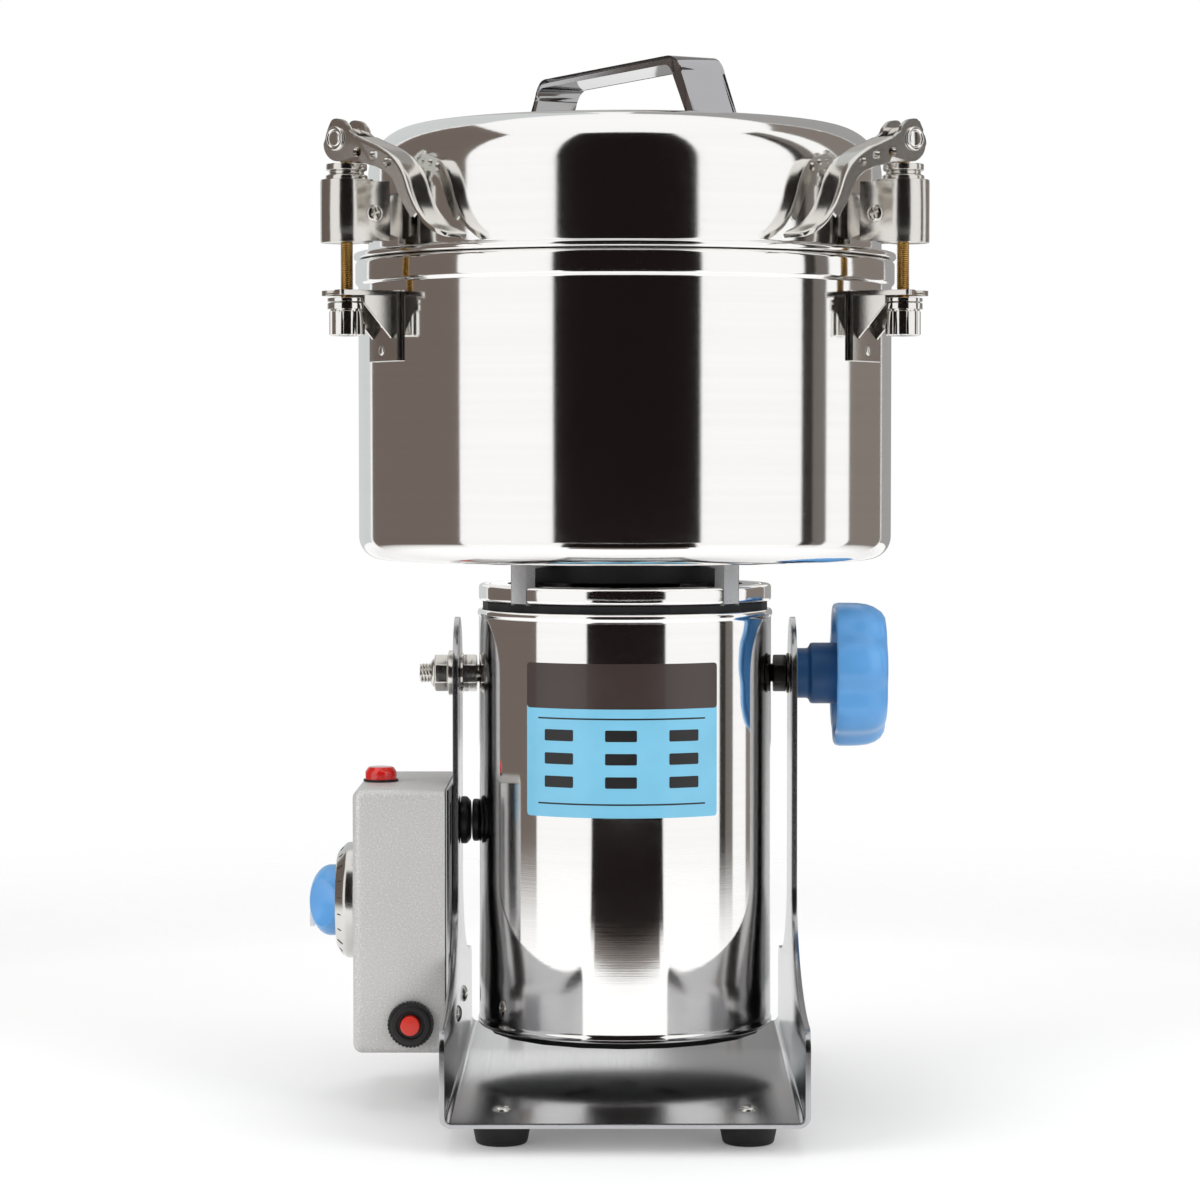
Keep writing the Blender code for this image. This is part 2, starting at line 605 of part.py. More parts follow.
def make_stand(parent, steel, rubber):
    """The U-shaped stand of one bent sheet, and its four feet."""
    outer, inner = STAND_HALF_WIDTH, ARM_INNER
    tall = PIVOT_HEIGHT + ARM_HALF_WIDTH + OVERRUN
    bend, inside = STAND_BEND, STAND_BEND - STAND_SHEET
    outline = [(outer, tall)]
    outline += arc((outer - bend, PLATE_BOTTOM + bend), bend, 0.0, -90.0, 5)
    outline += arc((bend - outer, PLATE_BOTTOM + bend), bend, -90.0, -180.0, 5)
    outline += [(-outer, tall), (-inner, tall)]
    outline += arc((bend - outer, PLATE_BOTTOM + bend), inside, -180.0, -90.0, 5)
    outline += arc((outer - bend, PLATE_BOTTOM + bend), inside, -90.0, 0.0, 5)
    outline.append((inner, tall))
    shape = upright(outline, -STAND_FRONT, STAND_BACK)
    side = prism(arm_side_outline(), -outer - OVERRUN, outer + OVERRUN)
    side.transform(Matrix(((0, 0, 1, 0), (1, 0, 0, 0), (0, 1, 0, 0), (0, 0, 0, 1))))
    shape = combine(shape, side, "INTERSECT")
    bore = drum(PIVOT_BORE_RADIUS, -outer - OVERRUN, outer + OVERRUN, SMALL_STEPS)
    cut(shape, moved(bore, (0.0, 0.0, PIVOT_HEIGHT), "X"))
    lead = drum(ARM_GLAND_NECK + GAP, -outer - OVERRUN, -inner + OVERRUN, SMALL_STEPS)
    cut(shape, moved(lead, (0.0, 0.0, LEAD_HEIGHT), "X"))
    piece("stand_bracket", shape, steel, parent)
    profile = [
        (0.0, 0.0),
        (FOOT_BOTTOM_RADIUS - FOOT_EDGE, 0.0),
        (FOOT_BOTTOM_RADIUS, FOOT_EDGE),
        (FOOT_TOP_RADIUS, FOOT_HEIGHT),
        (0.0, FOOT_HEIGHT),
    ]
    foot = None
    rows = (("front", FOOT_INSET - STAND_FRONT), ("back", STAND_BACK - FOOT_INSET))
    for row, depth in rows:
        for side_name, across in (("left", -FOOT_SPREAD), ("right", FOOT_SPREAD)):
            shape = foot.data if foot else revolve(profile, SMALL_STEPS)
            foot = piece(f"foot_{row}_{side_name}", shape, rubber, parent, (across, depth, 0.0))


def make_control_box(parent, paint, cover_steel):
    """The box on the left arm: a hollow casting closed by a flat cover against the arm."""
    shape = block((-BOX_REACH, -BOX_HALF_DEPTH, BOX_BOTTOM), (-BOX_INNER, BOX_HALF_DEPTH, BOX_TOP))
    bevelled(shape, BOX_EDGE, lambda edge: min(v.co.x for v in edge.verts) < -BOX_REACH + MERGE, 3)
    side = BOX_HALF_DEPTH - BOX_WALL
    hollow = block(
        (-BOX_REACH + BOX_WALL, -side, BOX_BOTTOM + BOX_WALL),
        (-BOX_INNER + OVERRUN, side, BOX_TOP - BOX_WALL),
    )
    cut(shape, hollow)
    wall_out, wall_in = -BOX_REACH - OVERRUN, -BOX_REACH + BOX_WALL + OVERRUN
    timer_hole = drum(TIMER_NECK_RADIUS + GAP, wall_out, wall_in, SMALL_STEPS)
    cut(shape, moved(timer_hole, (0.0, 0.0, TIMER_HEIGHT), "X"))
    lamp_hole = drum(LAMP_NECK_RADIUS + GAP, BOX_TOP - BOX_WALL - OVERRUN, BOX_TOP + OVERRUN, SMALL_STEPS)
    cut(shape, moved(lamp_hole, (-LAMP_X, -LAMP_Y, 0.0)))
    front = -BOX_HALF_DEPTH
    breaker_hole = drum(BREAKER_NECK_RADIUS + GAP, front - OVERRUN, front + BOX_WALL + OVERRUN, SMALL_STEPS)
    cut(shape, moved(breaker_hole, (-BREAKER_X, 0.0, BREAKER_HEIGHT), "Y"))
    back = BOX_HALF_DEPTH
    cord_hole = drum(CORD_GLAND_NECK + GAP, back - BOX_WALL - OVERRUN, back + OVERRUN, SMALL_STEPS)
    cut(shape, moved(cord_hole, (-BREAKER_X, 0.0, CORD_GLAND_HEIGHT), "Y"))
    piece("control_box", shape, paint, parent)
    cover = block((-COVER_INNER, -BOX_HALF_DEPTH, BOX_BOTTOM), (-COVER_OUTER, BOX_HALF_DEPTH, BOX_TOP))
    lead = drum(ARM_GLAND_NECK + GAP, -COVER_INNER - OVERRUN, -COVER_OUTER + OVERRUN, SMALL_STEPS)
    cut(cover, moved(lead, (0.0, 0.0, LEAD_HEIGHT), "X"))
    piece("control_box_cover", cover, cover_steel, parent)


def make_timer(parent, steel, blue):
    """The timer switch through the box's wall, and its domed knob on the switch's shaft."""
    outer_face = BEZEL_THICKNESS
    slope = BEZEL_THICKNESS * BEZEL_SLOPE_SHARE
    inner = -GAP - BOX_WALL - GAP
    profile = [
        (0.0, outer_face + TIMER_SHAFT_LENGTH),
        (TIMER_SHAFT_RADIUS, outer_face + TIMER_SHAFT_LENGTH),
        (TIMER_SHAFT_RADIUS, outer_face),
        (BEZEL_RIM_RADIUS, outer_face),
        (BEZEL_RADIUS, slope),
        (BEZEL_RADIUS, 0.0),
        (TIMER_NECK_RADIUS, 0.0),
        (TIMER_NECK_RADIUS, inner),
        (TIMER_BODY_RADIUS, inner),
        (TIMER_BODY_RADIUS, inner - TIMER_BODY_DEPTH),
        (0.0, inner - TIMER_BODY_DEPTH),
    ]
    shape = revolve(profile, COARSE_STEPS)
    shape.transform(Matrix.Rotation(math.radians(-90.0), 4, "Y"))
    seat = (-BOX_REACH - GAP, 0.0, TIMER_HEIGHT)
    piece("timer_switch", shape, steel, parent, seat)
    dome = [(0.0, 0.0), (KNOB_RADIUS, 0.0)]
    belt = KNOB_DEPTH * KNOB_BELT_SHARE
    dome += arc((0.0, belt), KNOB_RADIUS, 0.0, 90.0, 5, (KNOB_DEPTH - belt) / KNOB_RADIUS)
    dome[-1] = (0.0, KNOB_DEPTH)
    knob = revolve(dome, COARSE_STEPS)
    for side in (-1, 1):
        reach = KNOB_RADIUS + OVERRUN
        near, far = sorted((side * KNOB_GRIP_WIDTH / 2, side * reach))
        flank = block((-reach, near, KNOB_DEPTH - KNOB_GRIP_DEPTH), (reach, far, KNOB_DEPTH + OVERRUN))
        cut(knob, flank)
    cut(knob, drum(TIMER_SHAFT_RADIUS + GAP, -OVERRUN, TIMER_SHAFT_LENGTH + GAP, SMALL_STEPS))
    knob.transform(Matrix.Rotation(math.radians(-90.0), 4, "Y"))
    piece("timer_knob", knob, blue, parent, (-BEZEL_FACE - GAP, 0.0, TIMER_HEIGHT))


def make_box_fittings(parent, red_lens, black, red):
    """The lamp, the overload breaker with its reset button, and the glands of the cord and the lead."""
    lamp = revolve(
        [
            (0.0, -LAMP_NECK_LENGTH),
            (LAMP_NECK_RADIUS, -LAMP_NECK_LENGTH),
            (LAMP_NECK_RADIUS, 0.0),
            (LAMP_RADIUS, 0.0),
            (LAMP_RADIUS, LAMP_HEIGHT - LAMP_EDGE),
            (LAMP_RADIUS - LAMP_EDGE, LAMP_HEIGHT),
            (0.0, LAMP_HEIGHT),
        ],
        SMALL_STEPS,
    )
    piece("indicator_lamp", lamp, red_lens, parent, (-LAMP_X, -LAMP_Y, BOX_TOP + GAP))

    collar_front = -BREAKER_COLLAR_DEPTH
    neck_end = GAP + BOX_WALL + GAP
    bore_end = BUTTON_LENGTH + BUTTON_TRAVEL
    shape = drum(BREAKER_COLLAR_RADIUS, collar_front, 0.0, COARSE_STEPS)
    groove = moved(drum(BUTTON_EDGE, collar_front - OVERRUN, OVERRUN, 6), (BREAKER_COLLAR_RADIUS, 0.0, 0.0))
    cut(shape, around(groove, BREAKER_KNURLS))
    join(shape, drum(BREAKER_NECK_RADIUS, -GAP, neck_end + GAP, SMALL_STEPS))
    join(shape, drum(BREAKER_BODY_RADIUS, neck_end, neck_end + BREAKER_BODY_DEPTH, SMALL_STEPS))
    cut(shape, drum(BUTTON_RADIUS + GAP, collar_front - OVERRUN, collar_front + bore_end, SMALL_STEPS))
    shape.transform(Matrix.Rotation(math.radians(-90.0), 4, "X"))
    front = -BOX_HALF_DEPTH - GAP
    piece("overload_breaker", shape, black, parent, (-BREAKER_X, front, BREAKER_HEIGHT))
    button = drum(BUTTON_RADIUS, -BUTTON_LENGTH, BUTTON_SHOWN, SMALL_STEPS, BUTTON_EDGE)
    button.transform(Matrix.Rotation(math.radians(90.0), 4, "X"))
    piece("reset_button", button, red, parent, (-BREAKER_X, front + collar_front, BREAKER_HEIGHT))

    back = BOX_HALF_DEPTH + GAP
    gland = revolve(
        [
            (CORD_BORE_RADIUS, CORD_GLAND_LENGTH),
            (CORD_GLAND_RADIUS - BOX_WALL, CORD_GLAND_LENGTH),
            (CORD_GLAND_RADIUS, CORD_GLAND_LENGTH / 2),
            (CORD_GLAND_RADIUS, 0.0),
            (CORD_GLAND_NECK, 0.0),
            (CORD_GLAND_NECK, -neck_end - BOX_WALL),
            (CORD_BORE_RADIUS, -neck_end - BOX_WALL),
        ],
        SMALL_STEPS,
        closed=True,
    )
    piece("cord_gland", moved(gland, axis="Y"), black, parent, (-BREAKER_X, back, CORD_GLAND_HEIGHT))

    neck = ARM_INNER - GAP - BOX_INNER
    gland = revolve(
        [
            (LEAD_BORE_RADIUS, neck),
            (ARM_GLAND_NECK, neck),
            (ARM_GLAND_NECK, 0.0),
            (ARM_GLAND_RADIUS, 0.0),
            (ARM_GLAND_RADIUS, ARM_GLAND_FLANGE * GLAND_RIM_SHARE),
            (ARM_GLAND_NECK, ARM_GLAND_FLANGE),
            (LEAD_BORE_RADIUS, ARM_GLAND_FLANGE),
        ],
        SMALL_STEPS,
        closed=True,
    )
    piece("arm_lead_gland", moved(gland, axis="X"), black, parent, (-ARM_INNER + GAP, 0.0, LEAD_HEIGHT))


def make_motor_case(parent, chrome, black, cast):
    """The polished shell with rolled edges, its bottom cover, its top bracket and the vent ring."""
    base = PIVOT_HEIGHT
    low, high = SHELL_BOTTOM - base, SHELL_TOP - base
    inner = SHELL_RADIUS - SHELL_WALL
    rolled = SHELL_RADIUS + SHELL_ROLL / 2
    profile = [
        (inner, low),
        (SHELL_RADIUS, low),
        (rolled, low + SHELL_ROLL),
        (rolled, low + 2 * SHELL_ROLL),
        (SHELL_RADIUS, low + 3 * SHELL_ROLL),
        (SHELL_RADIUS, high - 3 * SHELL_ROLL),
        (rolled, high - 2 * SHELL_ROLL),
        (rolled, high - SHELL_ROLL),
        (SHELL_RADIUS, high),
        (inner, high),
    ]
    shape = revolve(profile, FINE_STEPS, closed=True)
    reach = SHELL_RADIUS + OVERRUN
    cut(shape, moved(drum(BOLT_RADIUS + GAP, -reach, reach, SMALL_STEPS), axis="X"))
    lead = drum(SHELL_GLAND_NECK + GAP, -reach, -inner + OVERRUN, SMALL_STEPS)
    cut(shape, moved(lead, (0.0, 0.0, LEAD_HEIGHT - base), "X"))
    piece("motor_shell", shape, chrome, parent)

    inside = inner - GAP
    bottom = SHELL_BOTTOM - BOTTOM_COVER_DROP - base
    floor = LOWER_BEARING_BOTTOM - base
    profile = [
        (SHAFT_RADIUS, bottom),
        (inside - BOTTOM_COVER_DROP, bottom),
        (inside, bottom + BOTTOM_COVER_DROP),
        (inside, floor + BEARING_HOUSING_WALL),
        (inside - BEARING_HOUSING_WALL, floor + BEARING_HOUSING_WALL),
        (inside - BEARING_HOUSING_WALL, floor),
        (BEARING_HOUSING_RADIUS, floor),
        (BEARING_HOUSING_RADIUS, floor + BEARING_HEIGHT),
        (BEARING_RADIUS + GAP, floor + BEARING_HEIGHT),
        (BEARING_RADIUS + GAP, floor),
        (SHAFT_RADIUS, floor),
    ]
    cover = revolve(profile, COARSE_STEPS, closed=True)
    vent = block(
        (BEARING_HOUSING_RADIUS + VENT_SLOT_WIDTH, -VENT_SLOT_WIDTH / 2, bottom - OVERRUN),
        (inside - 2 * VENT_SLOT_WIDTH, VENT_SLOT_WIDTH / 2, floor + OVERRUN),
    )
    cut(cover, around(vent, VENT_SLOTS))
    piece("motor_bottom_cover", cover, black, parent)

    low, rim = BRACKET_BOTTOM - base, BRACKET_RIM - base
    plate_top = low + BRACKET_PLATE
    seat = BEARING_RADIUS + GAP
    profile = [
        (seat, low),
        (inside, low),
        (inside, rim),
        (inside - 3 * BEARING_HOUSING_WALL, rim),
        (inside - 3 * BEARING_HOUSING_WALL, plate_top),
        (BEARING_HOUSING_RADIUS, plate_top),
        (BEARING_HOUSING_RADIUS, low + BEARING_HEIGHT + BEARING_HOUSING_WALL),
        (SHAFT_RADIUS + 2 * GAP, low + BEARING_HEIGHT + BEARING_HOUSING_WALL),
        (SHAFT_RADIUS + 2 * GAP, low + BEARING_HEIGHT),
        (seat, low + BEARING_HEIGHT),
    ]
    bracket = revolve(profile, COARSE_STEPS, closed=True)
    vent = block(
        (BEARING_HOUSING_RADIUS + VENT_SLOT_WIDTH, -VENT_SLOT_WIDTH / 2, low - OVERRUN),
        (inside - 2 * VENT_SLOT_WIDTH, VENT_SLOT_WIDTH / 2, plate_top + OVERRUN),
    )
    cut(bracket, around(vent, VENT_SLOTS))
    piece("motor_top_bracket", bracket, cast, parent)

    low, high = RING_BOTTOM - base, RING_TOP - base
    profile = [
        (RING_INNER_RADIUS, low),
        (SHELL_RADIUS - RING_EDGE, low),
        (SHELL_RADIUS, low + RING_EDGE),
        (SHELL_RADIUS, high - RING_EDGE),
        (SHELL_RADIUS - RING_EDGE, high),
        (RING_INNER_RADIUS, high),
    ]
    vent_ring = revolve(profile, FINE_STEPS, closed=True)
    notch_depth = SHELL_RADIUS - POST_THICKNESS - 2 * GAP
    notch_half = POST_HALF_WIDTH + GAP
    notch = block(
        (notch_depth, -notch_half, low - OVERRUN),
        (SHELL_RADIUS + OVERRUN, notch_half, high + OVERRUN),
    )
    cut(vent_ring, around(notch, POSTS, POST_TURN))
    piece("vent_ring", vent_ring, chrome, parent)


def make_posts(parent, grey, black):
    """The four posts that carry the bowl over the motor, and the plate between them round the shaft."""
    base = PIVOT_HEIGHT
    foot_bottom = BRACKET_RIM + GAP - base
    top = BOWL_BOTTOM - GAP - base
    outer = SHELL_RADIUS - GAP
    inner = outer - POST_THICKNESS
    foot_top = RING_BOTTOM - GAP - base
    head_bottom = HUB_PLATE_TOP - POST_THICKNESS / 2 - base
    outline = [
        (outer, foot_bottom),
        (outer, top),
        (inner - POST_FOOT_LENGTH, top),
        (inner - POST_FOOT_LENGTH, head_bottom),
        (inner, head_bottom),
        (inner, foot_bottom),
    ]
    post = None
    for corner in range(POSTS):
        shape = post.data if post else upright(outline, -POST_HALF_WIDTH, POST_HALF_WIDTH)
        turn = POST_TURN + math.tau * corner / POSTS
        post = piece(f"bowl_post_{corner + 1}", shape, grey, parent, turn=turn)

    low, high = HUB_PLATE_BOTTOM - base, HUB_PLATE_TOP - base
    neck = BRACKET_BOTTOM + BEARING_HEIGHT + BEARING_HOUSING_WALL + GAP - base
    profile = [
        (HUB_NECK_BORE, neck),
        (HUB_NECK_RADIUS, neck),
        (HUB_NECK_RADIUS + BEARING_HOUSING_WALL, low),
        (HUB_PLATE_RADIUS, low),
        (HUB_PLATE_RADIUS, high),
        (HUB_NECK_BORE, high),
    ]
    piece("hub_plate", revolve(profile, COARSE_STEPS, closed=True), black, parent)


def make_pivots(parent, steel, dark):
    """The bolt and the stud on the tilt axis with their hex collars, the nut and the shell's gland."""
    inner = SHELL_RADIUS - SHELL_WALL
    collar_inner = SHELL_RADIUS + SHELL_ROLL
    collar_outer = ARM_INNER - GAP
    for name, side, reach in (("pivot_bolt", -1, BOLT_REACH), ("lock_stud", 1, STUD_REACH)):
        shape = drum(BOLT_RADIUS, inner - GAP - BOLT_HEAD_THICKNESS, reach, SMALL_STEPS, FOOT_EDGE)
        join(shape, prism(hexagon(COLLAR_ACROSS_FLATS), collar_inner, collar_outer))
        head_top = inner - 4 * GAP
        join(shape, prism(hexagon(COLLAR_ACROSS_FLATS), head_top - BOLT_HEAD_THICKNESS, head_top))
        shape.transform(Matrix.Rotation(math.radians(90.0 * side), 4, "Y"))
        piece(name, shape, dark, parent)
    nut = drum(NUT_FLANGE_RADIUS, STAND_HALF_WIDTH + GAP, NUT_INNER, SMALL_STEPS)
    join(nut, prism(hexagon(COLLAR_ACROSS_FLATS), NUT_INNER - GAP, NUT_OUTER))
    cut(nut, drum(BOLT_RADIUS + GAP, STAND_HALF_WIDTH - OVERRUN, NUT_OUTER + OVERRUN, SMALL_STEPS))
    nut.transform(Matrix.Rotation(math.radians(-90.0), 4, "Y"))
    piece("pivot_lock_nut", nut, steel, parent)

    face = ARM_INNER - GAP - ARM_GLAND_FLANGE - GAP
    seat = SHELL_RADIUS + GAP
    gland = revolve(
        [
            (LEAD_BORE_RADIUS, inner),
            (SHELL_GLAND_NECK, inner),
            (SHELL_GLAND_NECK, seat),
            (SHELL_GLAND_RADIUS, seat),
            (SHELL_GLAND_RADIUS, face - GAP),
            (LEAD_BORE_RADIUS, face - GAP),
        ],
        SMALL_STEPS,
        closed=True,
    )
    gland.transform(Matrix.Rotation(math.radians(-90.0), 4, "Y"))
    piece("motor_lead_gland", gland, dark, parent, (0.0, 0.0, LEAD_HEIGHT - PIVOT_HEIGHT))


def make_lock_knob(parent, blue):
    """The lobed knob that locks the tilt: a hub on the stud and a hollow cup with a rounded outer face."""
    steps = LOCK_LOBES * LOBE_STEPS
    depth = LOCK_KNOB_OUTER - LOCK_KNOB_BACK
    shape = bmesh.new()
    rings = []
    for radius_share, depth_share in LOCK_CUP_SHARES:
        height = LOCK_KNOB_BACK + depth * depth_share
        row = []
        for step in range(steps):
            turn = math.tau * step / steps
            dip = LOCK_LOBE_DEPTH * (0.5 - 0.5 * math.cos(LOCK_LOBES * turn)) ** 2
            radius = LOCK_KNOB_RADIUS * radius_share - dip
            row.append(shape.verts.new((radius * math.cos(turn), radius * math.sin(turn), height)))
        rings.append(row)
    for row, following in zip(rings, rings[1:]):
        for step in range(steps):
            after = (step + 1) % steps
            shape.faces.new((row[step], row[after], following[after], following[step]))
    shape.faces.new(rings[-1])
    shape.faces.new(rings[0][::-1])
    cup_radius = LOCK_KNOB_RADIUS - LOCK_LOBE_DEPTH - LOCK_KNOB_WALL
    hollow = ring(
        LOCK_HUB_RADIUS,
        cup_radius,
        LOCK_KNOB_BACK - OVERRUN,
        LOCK_KNOB_OUTER - 2 * LOCK_KNOB_WALL,
        COARSE_STEPS,
    )
    cut(shape, hollow)
    hub = revolve(
        [
            (0.0, LOCK_HUB_INNER),
            (LOCK_WASHER_RADIUS, LOCK_HUB_INNER),
            (LOCK_WASHER_RADIUS, LOCK_HUB_INNER + LOCK_WASHER_THICKNESS),
            (LOCK_HUB_RADIUS - GAP, LOCK_HUB_INNER + LOCK_WASHER_THICKNESS + GAP),
            (LOCK_HUB_RADIUS - GAP, LOCK_HUB_OUTER + LOCK_KNOB_WALL),
            (0.0, LOCK_HUB_OUTER + LOCK_KNOB_WALL),
        ],
        COARSE_STEPS,
    )
    join(shape, hub)
    cut(shape, drum(BOLT_RADIUS + GAP, LOCK_HUB_INNER - OVERRUN, STUD_REACH + OVERRUN, SMALL_STEPS))
    shape.transform(Matrix.Rotation(math.radians(90.0), 4, "Y"))
    piece("tilt_lock_knob", shape, blue, parent)


def make_stator(parent, iron, steel, plastic):
    """The stator with its field coils, the two bearings and the yoke that holds the brushes."""
    base = PIVOT_HEIGHT
    low, high = STATOR_BOTTOM - base, STATOR_TOP - base
    outer = SHELL_RADIUS - SHELL_WALL - GAP
    profile = [
        (STATOR_BORE_RADIUS, low),
        (COIL_INNER_RADIUS, low),
        (COIL_INNER_RADIUS, low - COIL_RISE),
        (COIL_RADIUS, low - COIL_RISE),
        (COIL_RADIUS, low),
        (outer, low),
        (outer, high),
        (COIL_RADIUS, high),
        (COIL_RADIUS, high + COIL_RISE),
        (COIL_INNER_RADIUS, high + COIL_RISE),
        (COIL_INNER_RADIUS, high),
        (STATOR_BORE_RADIUS, high),
    ]
    shape = revolve(profile, COARSE_STEPS, closed=True)
    for side in (-1, 1):
        reach = outer + OVERRUN
        near, far = sorted((side * (COIL_RADIUS + FOOT_EDGE), side * reach))
        cut(shape, block((-reach / 2, near, low - OVERRUN), (reach / 2, far, high + OVERRUN)))
        edges = sorted((side * COIL_RISE / 2, side * reach))
        top = high + COIL_RISE + OVERRUN
        split = block((edges[0], -COIL_RISE / 2, high), (edges[1], COIL_RISE / 2, top))
        cut(shape, split)
    piece("stator", shape, iron, parent)

    for name, height in (("lower_bearing", LOWER_BEARING_BOTTOM), ("upper_bearing", BRACKET_BOTTOM)):
        low = height - base + (GAP if name == "lower_bearing" else 0.0)
        high = height - base + BEARING_HEIGHT - (0.0 if name == "lower_bearing" else GAP)
        race = BEARING_RADIUS - BEARING_HOUSING_WALL
        hub = SHAFT_RADIUS + BEARING_HOUSING_WALL
        bearing = revolve(
            [
                (SHAFT_RADIUS + GAP, low),
                (hub, low),
                (hub, low + FOOT_EDGE),
                (race, low + FOOT_EDGE),
                (race, low),
                (BEARING_RADIUS, low),
                (BEARING_RADIUS, high),
                (race, high),
                (race, high - FOOT_EDGE),
                (hub, high - FOOT_EDGE),
                (hub, high),
                (SHAFT_RADIUS + GAP, high),
            ],
            SMALL_STEPS,
            closed=True,
        )
        piece(name, bearing, steel, parent)

    low = YOKE_HEIGHT - base
    yoke = ring(YOKE_BORE_RADIUS, outer, low, low + YOKE_THICKNESS)
    half = BRUSH_BOX_WIDTH / 2
    tip = COMMUTATOR_RADIUS + GAP
    for side in (-1, 1):
        near, far = sorted((side * (YOKE_BORE_RADIUS - GAP), side * (outer - BRUSH_BOX_WIDTH)))
        join(yoke, block((near, -half, low - GAP), (far, half, low + BRUSH_BOX_WIDTH)))
        near, far = sorted((side * tip, side * (YOKE_BORE_RADIUS + OVERRUN)))
        brush = BRUSH_WIDTH / 2
        join(yoke, block((near, -brush, low + GAP), (far, brush, low + GAP + BRUSH_WIDTH)))
    piece("brush_yoke", yoke, plastic, parent)


def make_rotor(parent, iron, alloy, steel):
    """What spins: the armature on its shaft, the cooling fan, the two blades and their nut."""
    base = PIVOT_HEIGHT
    low, high = STATOR_BOTTOM - base, STATOR_TOP - base
    shaft_bottom = LOWER_BEARING_BOTTOM + GAP - base
    core = revolve(
        [
            (0.0, shaft_bottom),
            (SHAFT_RADIUS, shaft_bottom),
            (SHAFT_RADIUS, COMMUTATOR_BOTTOM - base),
            (COMMUTATOR_RADIUS, COMMUTATOR_BOTTOM - base),
            (COMMUTATOR_RADIUS, COMMUTATOR_TOP - base),
            (FAN_HUB_RADIUS, COMMUTATOR_TOP - base),
            (FAN_HUB_RADIUS, low),
            (ARMATURE_RADIUS, low),
            (ARMATURE_RADIUS, high),
            (FAN_HUB_RADIUS, high),
            (FAN_HUB_RADIUS, FAN_BOTTOM - GAP - base),
            (SHAFT_RADIUS, FAN_BOTTOM - GAP - base),
            (SHAFT_RADIUS, SHAFT_TOP - base),
            (0.0, SHAFT_TOP - base),
        ],
        COARSE_STEPS,
    )
    half = ARMATURE_SLOT_WIDTH / 2
    groove = block(
        (ARMATURE_RADIUS - ARMATURE_SLOT_DEPTH, -half, low - OVERRUN),
        (ARMATURE_RADIUS + OVERRUN, half, high + OVERRUN),
    )
    cut(core, around(groove, ARMATURE_SLOTS))
    piece("armature", core, iron, parent)

    floor = FAN_BOTTOM - base
    bore = SHAFT_RADIUS + GAP
    fan = ring(bore, FAN_RADIUS, floor, floor + FAN_PLATE)
    join(fan, ring(bore, FAN_HUB_RADIUS, floor, floor + FAN_BLADE_HEIGHT))
    vane = block(
        (FAN_HUB_RADIUS + FAN_BLADE_HEIGHT / 2, -FAN_BLADE_THICKNESS / 2, floor + FAN_PLATE - GAP),
        (FAN_RADIUS - GAP, FAN_BLADE_THICKNESS / 2, floor + FAN_BLADE_HEIGHT),
    )
    join(fan, around(vane, FAN_BLADES, math.pi / FAN_BLADES))
    piece("cooling_fan", fan, alloy, parent)

    for name, height, lift, turn in (
        ("lower_blade", LOWER_BLADE_HEIGHT, -1, 0.0),
        ("upper_blade", LOWER_BLADE_HEIGHT + BLADE_HUB_HEIGHT + GAP, 1, math.radians(90.0)),
    ):
        piece(name, blade_shape(lift), steel, parent, (0.0, 0.0, height - base), turn)

    seat = BLADE_STACK_TOP + GAP - base
    nut = prism(hexagon(BLADE_NUT_ACROSS), seat, seat + BLADE_NUT_HEIGHT)
    cap_radius = BLADE_NUT_ACROSS / 2 - GAP
    cap_top = seat + BLADE_NUT_HEIGHT + BLADE_NUT_CAP
    join(nut, drum(cap_radius, seat + GAP, cap_top, SMALL_STEPS, BLADE_NUT_CAP - GAP))
    cut(nut, drum(SHAFT_RADIUS + GAP, seat - OVERRUN, SHAFT_TOP + GAP - base, SMALL_STEPS))
    piece("blade_nut", nut, steel, parent)


def blade_shape(lift):
    """A flat bar with a hub, sharpened along its leading edges, its tips bent up or down."""
    middle = BLADE_HUB_HEIGHT / 2
    half = BLADE_THICKNESS / 2
    straight = BLADE_LENGTH - BLADE_TIP
    rise = lift * BLADE_TIP_RISE
    outline = [
        (-BLADE_LENGTH, middle + rise - half),
        (-straight, middle - half),
        (straight, middle - half),
        (BLADE_LENGTH, middle + rise - half),
        (BLADE_LENGTH, middle + rise + half),
        (straight, middle + half),
        (-straight, middle + half),
        (-BLADE_LENGTH, middle + rise + half),
    ]
    shape = upright(outline, -BLADE_HALF_WIDTH, BLADE_HALF_WIDTH)
    for vertex in shape.verts:
        if abs(vertex.co.x) > straight + MERGE:
            vertex.co.y *= BLADE_TIP_HALF_WIDTH / BLADE_HALF_WIDTH
    for edge_side in (-1, 1):
        bevel_edges = [
            edge
            for edge in shape.edges
            if all(v.co.y * edge_side > 0 and v.co.x * edge_side > 0 for v in edge.verts)
            and all(v.co.z > middle - half + MERGE or abs(v.co.x) > straight + MERGE for v in edge.verts)
            and abs(edge.verts[0].co.x - edge.verts[1].co.x) > BLADE_TIP / 2
            and max(v.co.z - (rise if abs(v.co.x) > straight + MERGE else 0.0) for v in edge.verts) > middle
        ]
        width = BLADE_THICKNESS * BLADE_EDGE_SHARE
        bmesh.ops.bevel(shape, geom=bevel_edges, offset=width, segments=1, affect="EDGES")
    join(shape, drum(BLADE_HUB_RADIUS, 0.0, BLADE_HUB_HEIGHT, COARSE_STEPS))
    cut(shape, drum(SHAFT_RADIUS + GAP, -OVERRUN, BLADE_HUB_HEIGHT + OVERRUN, SMALL_STEPS))
    return shape


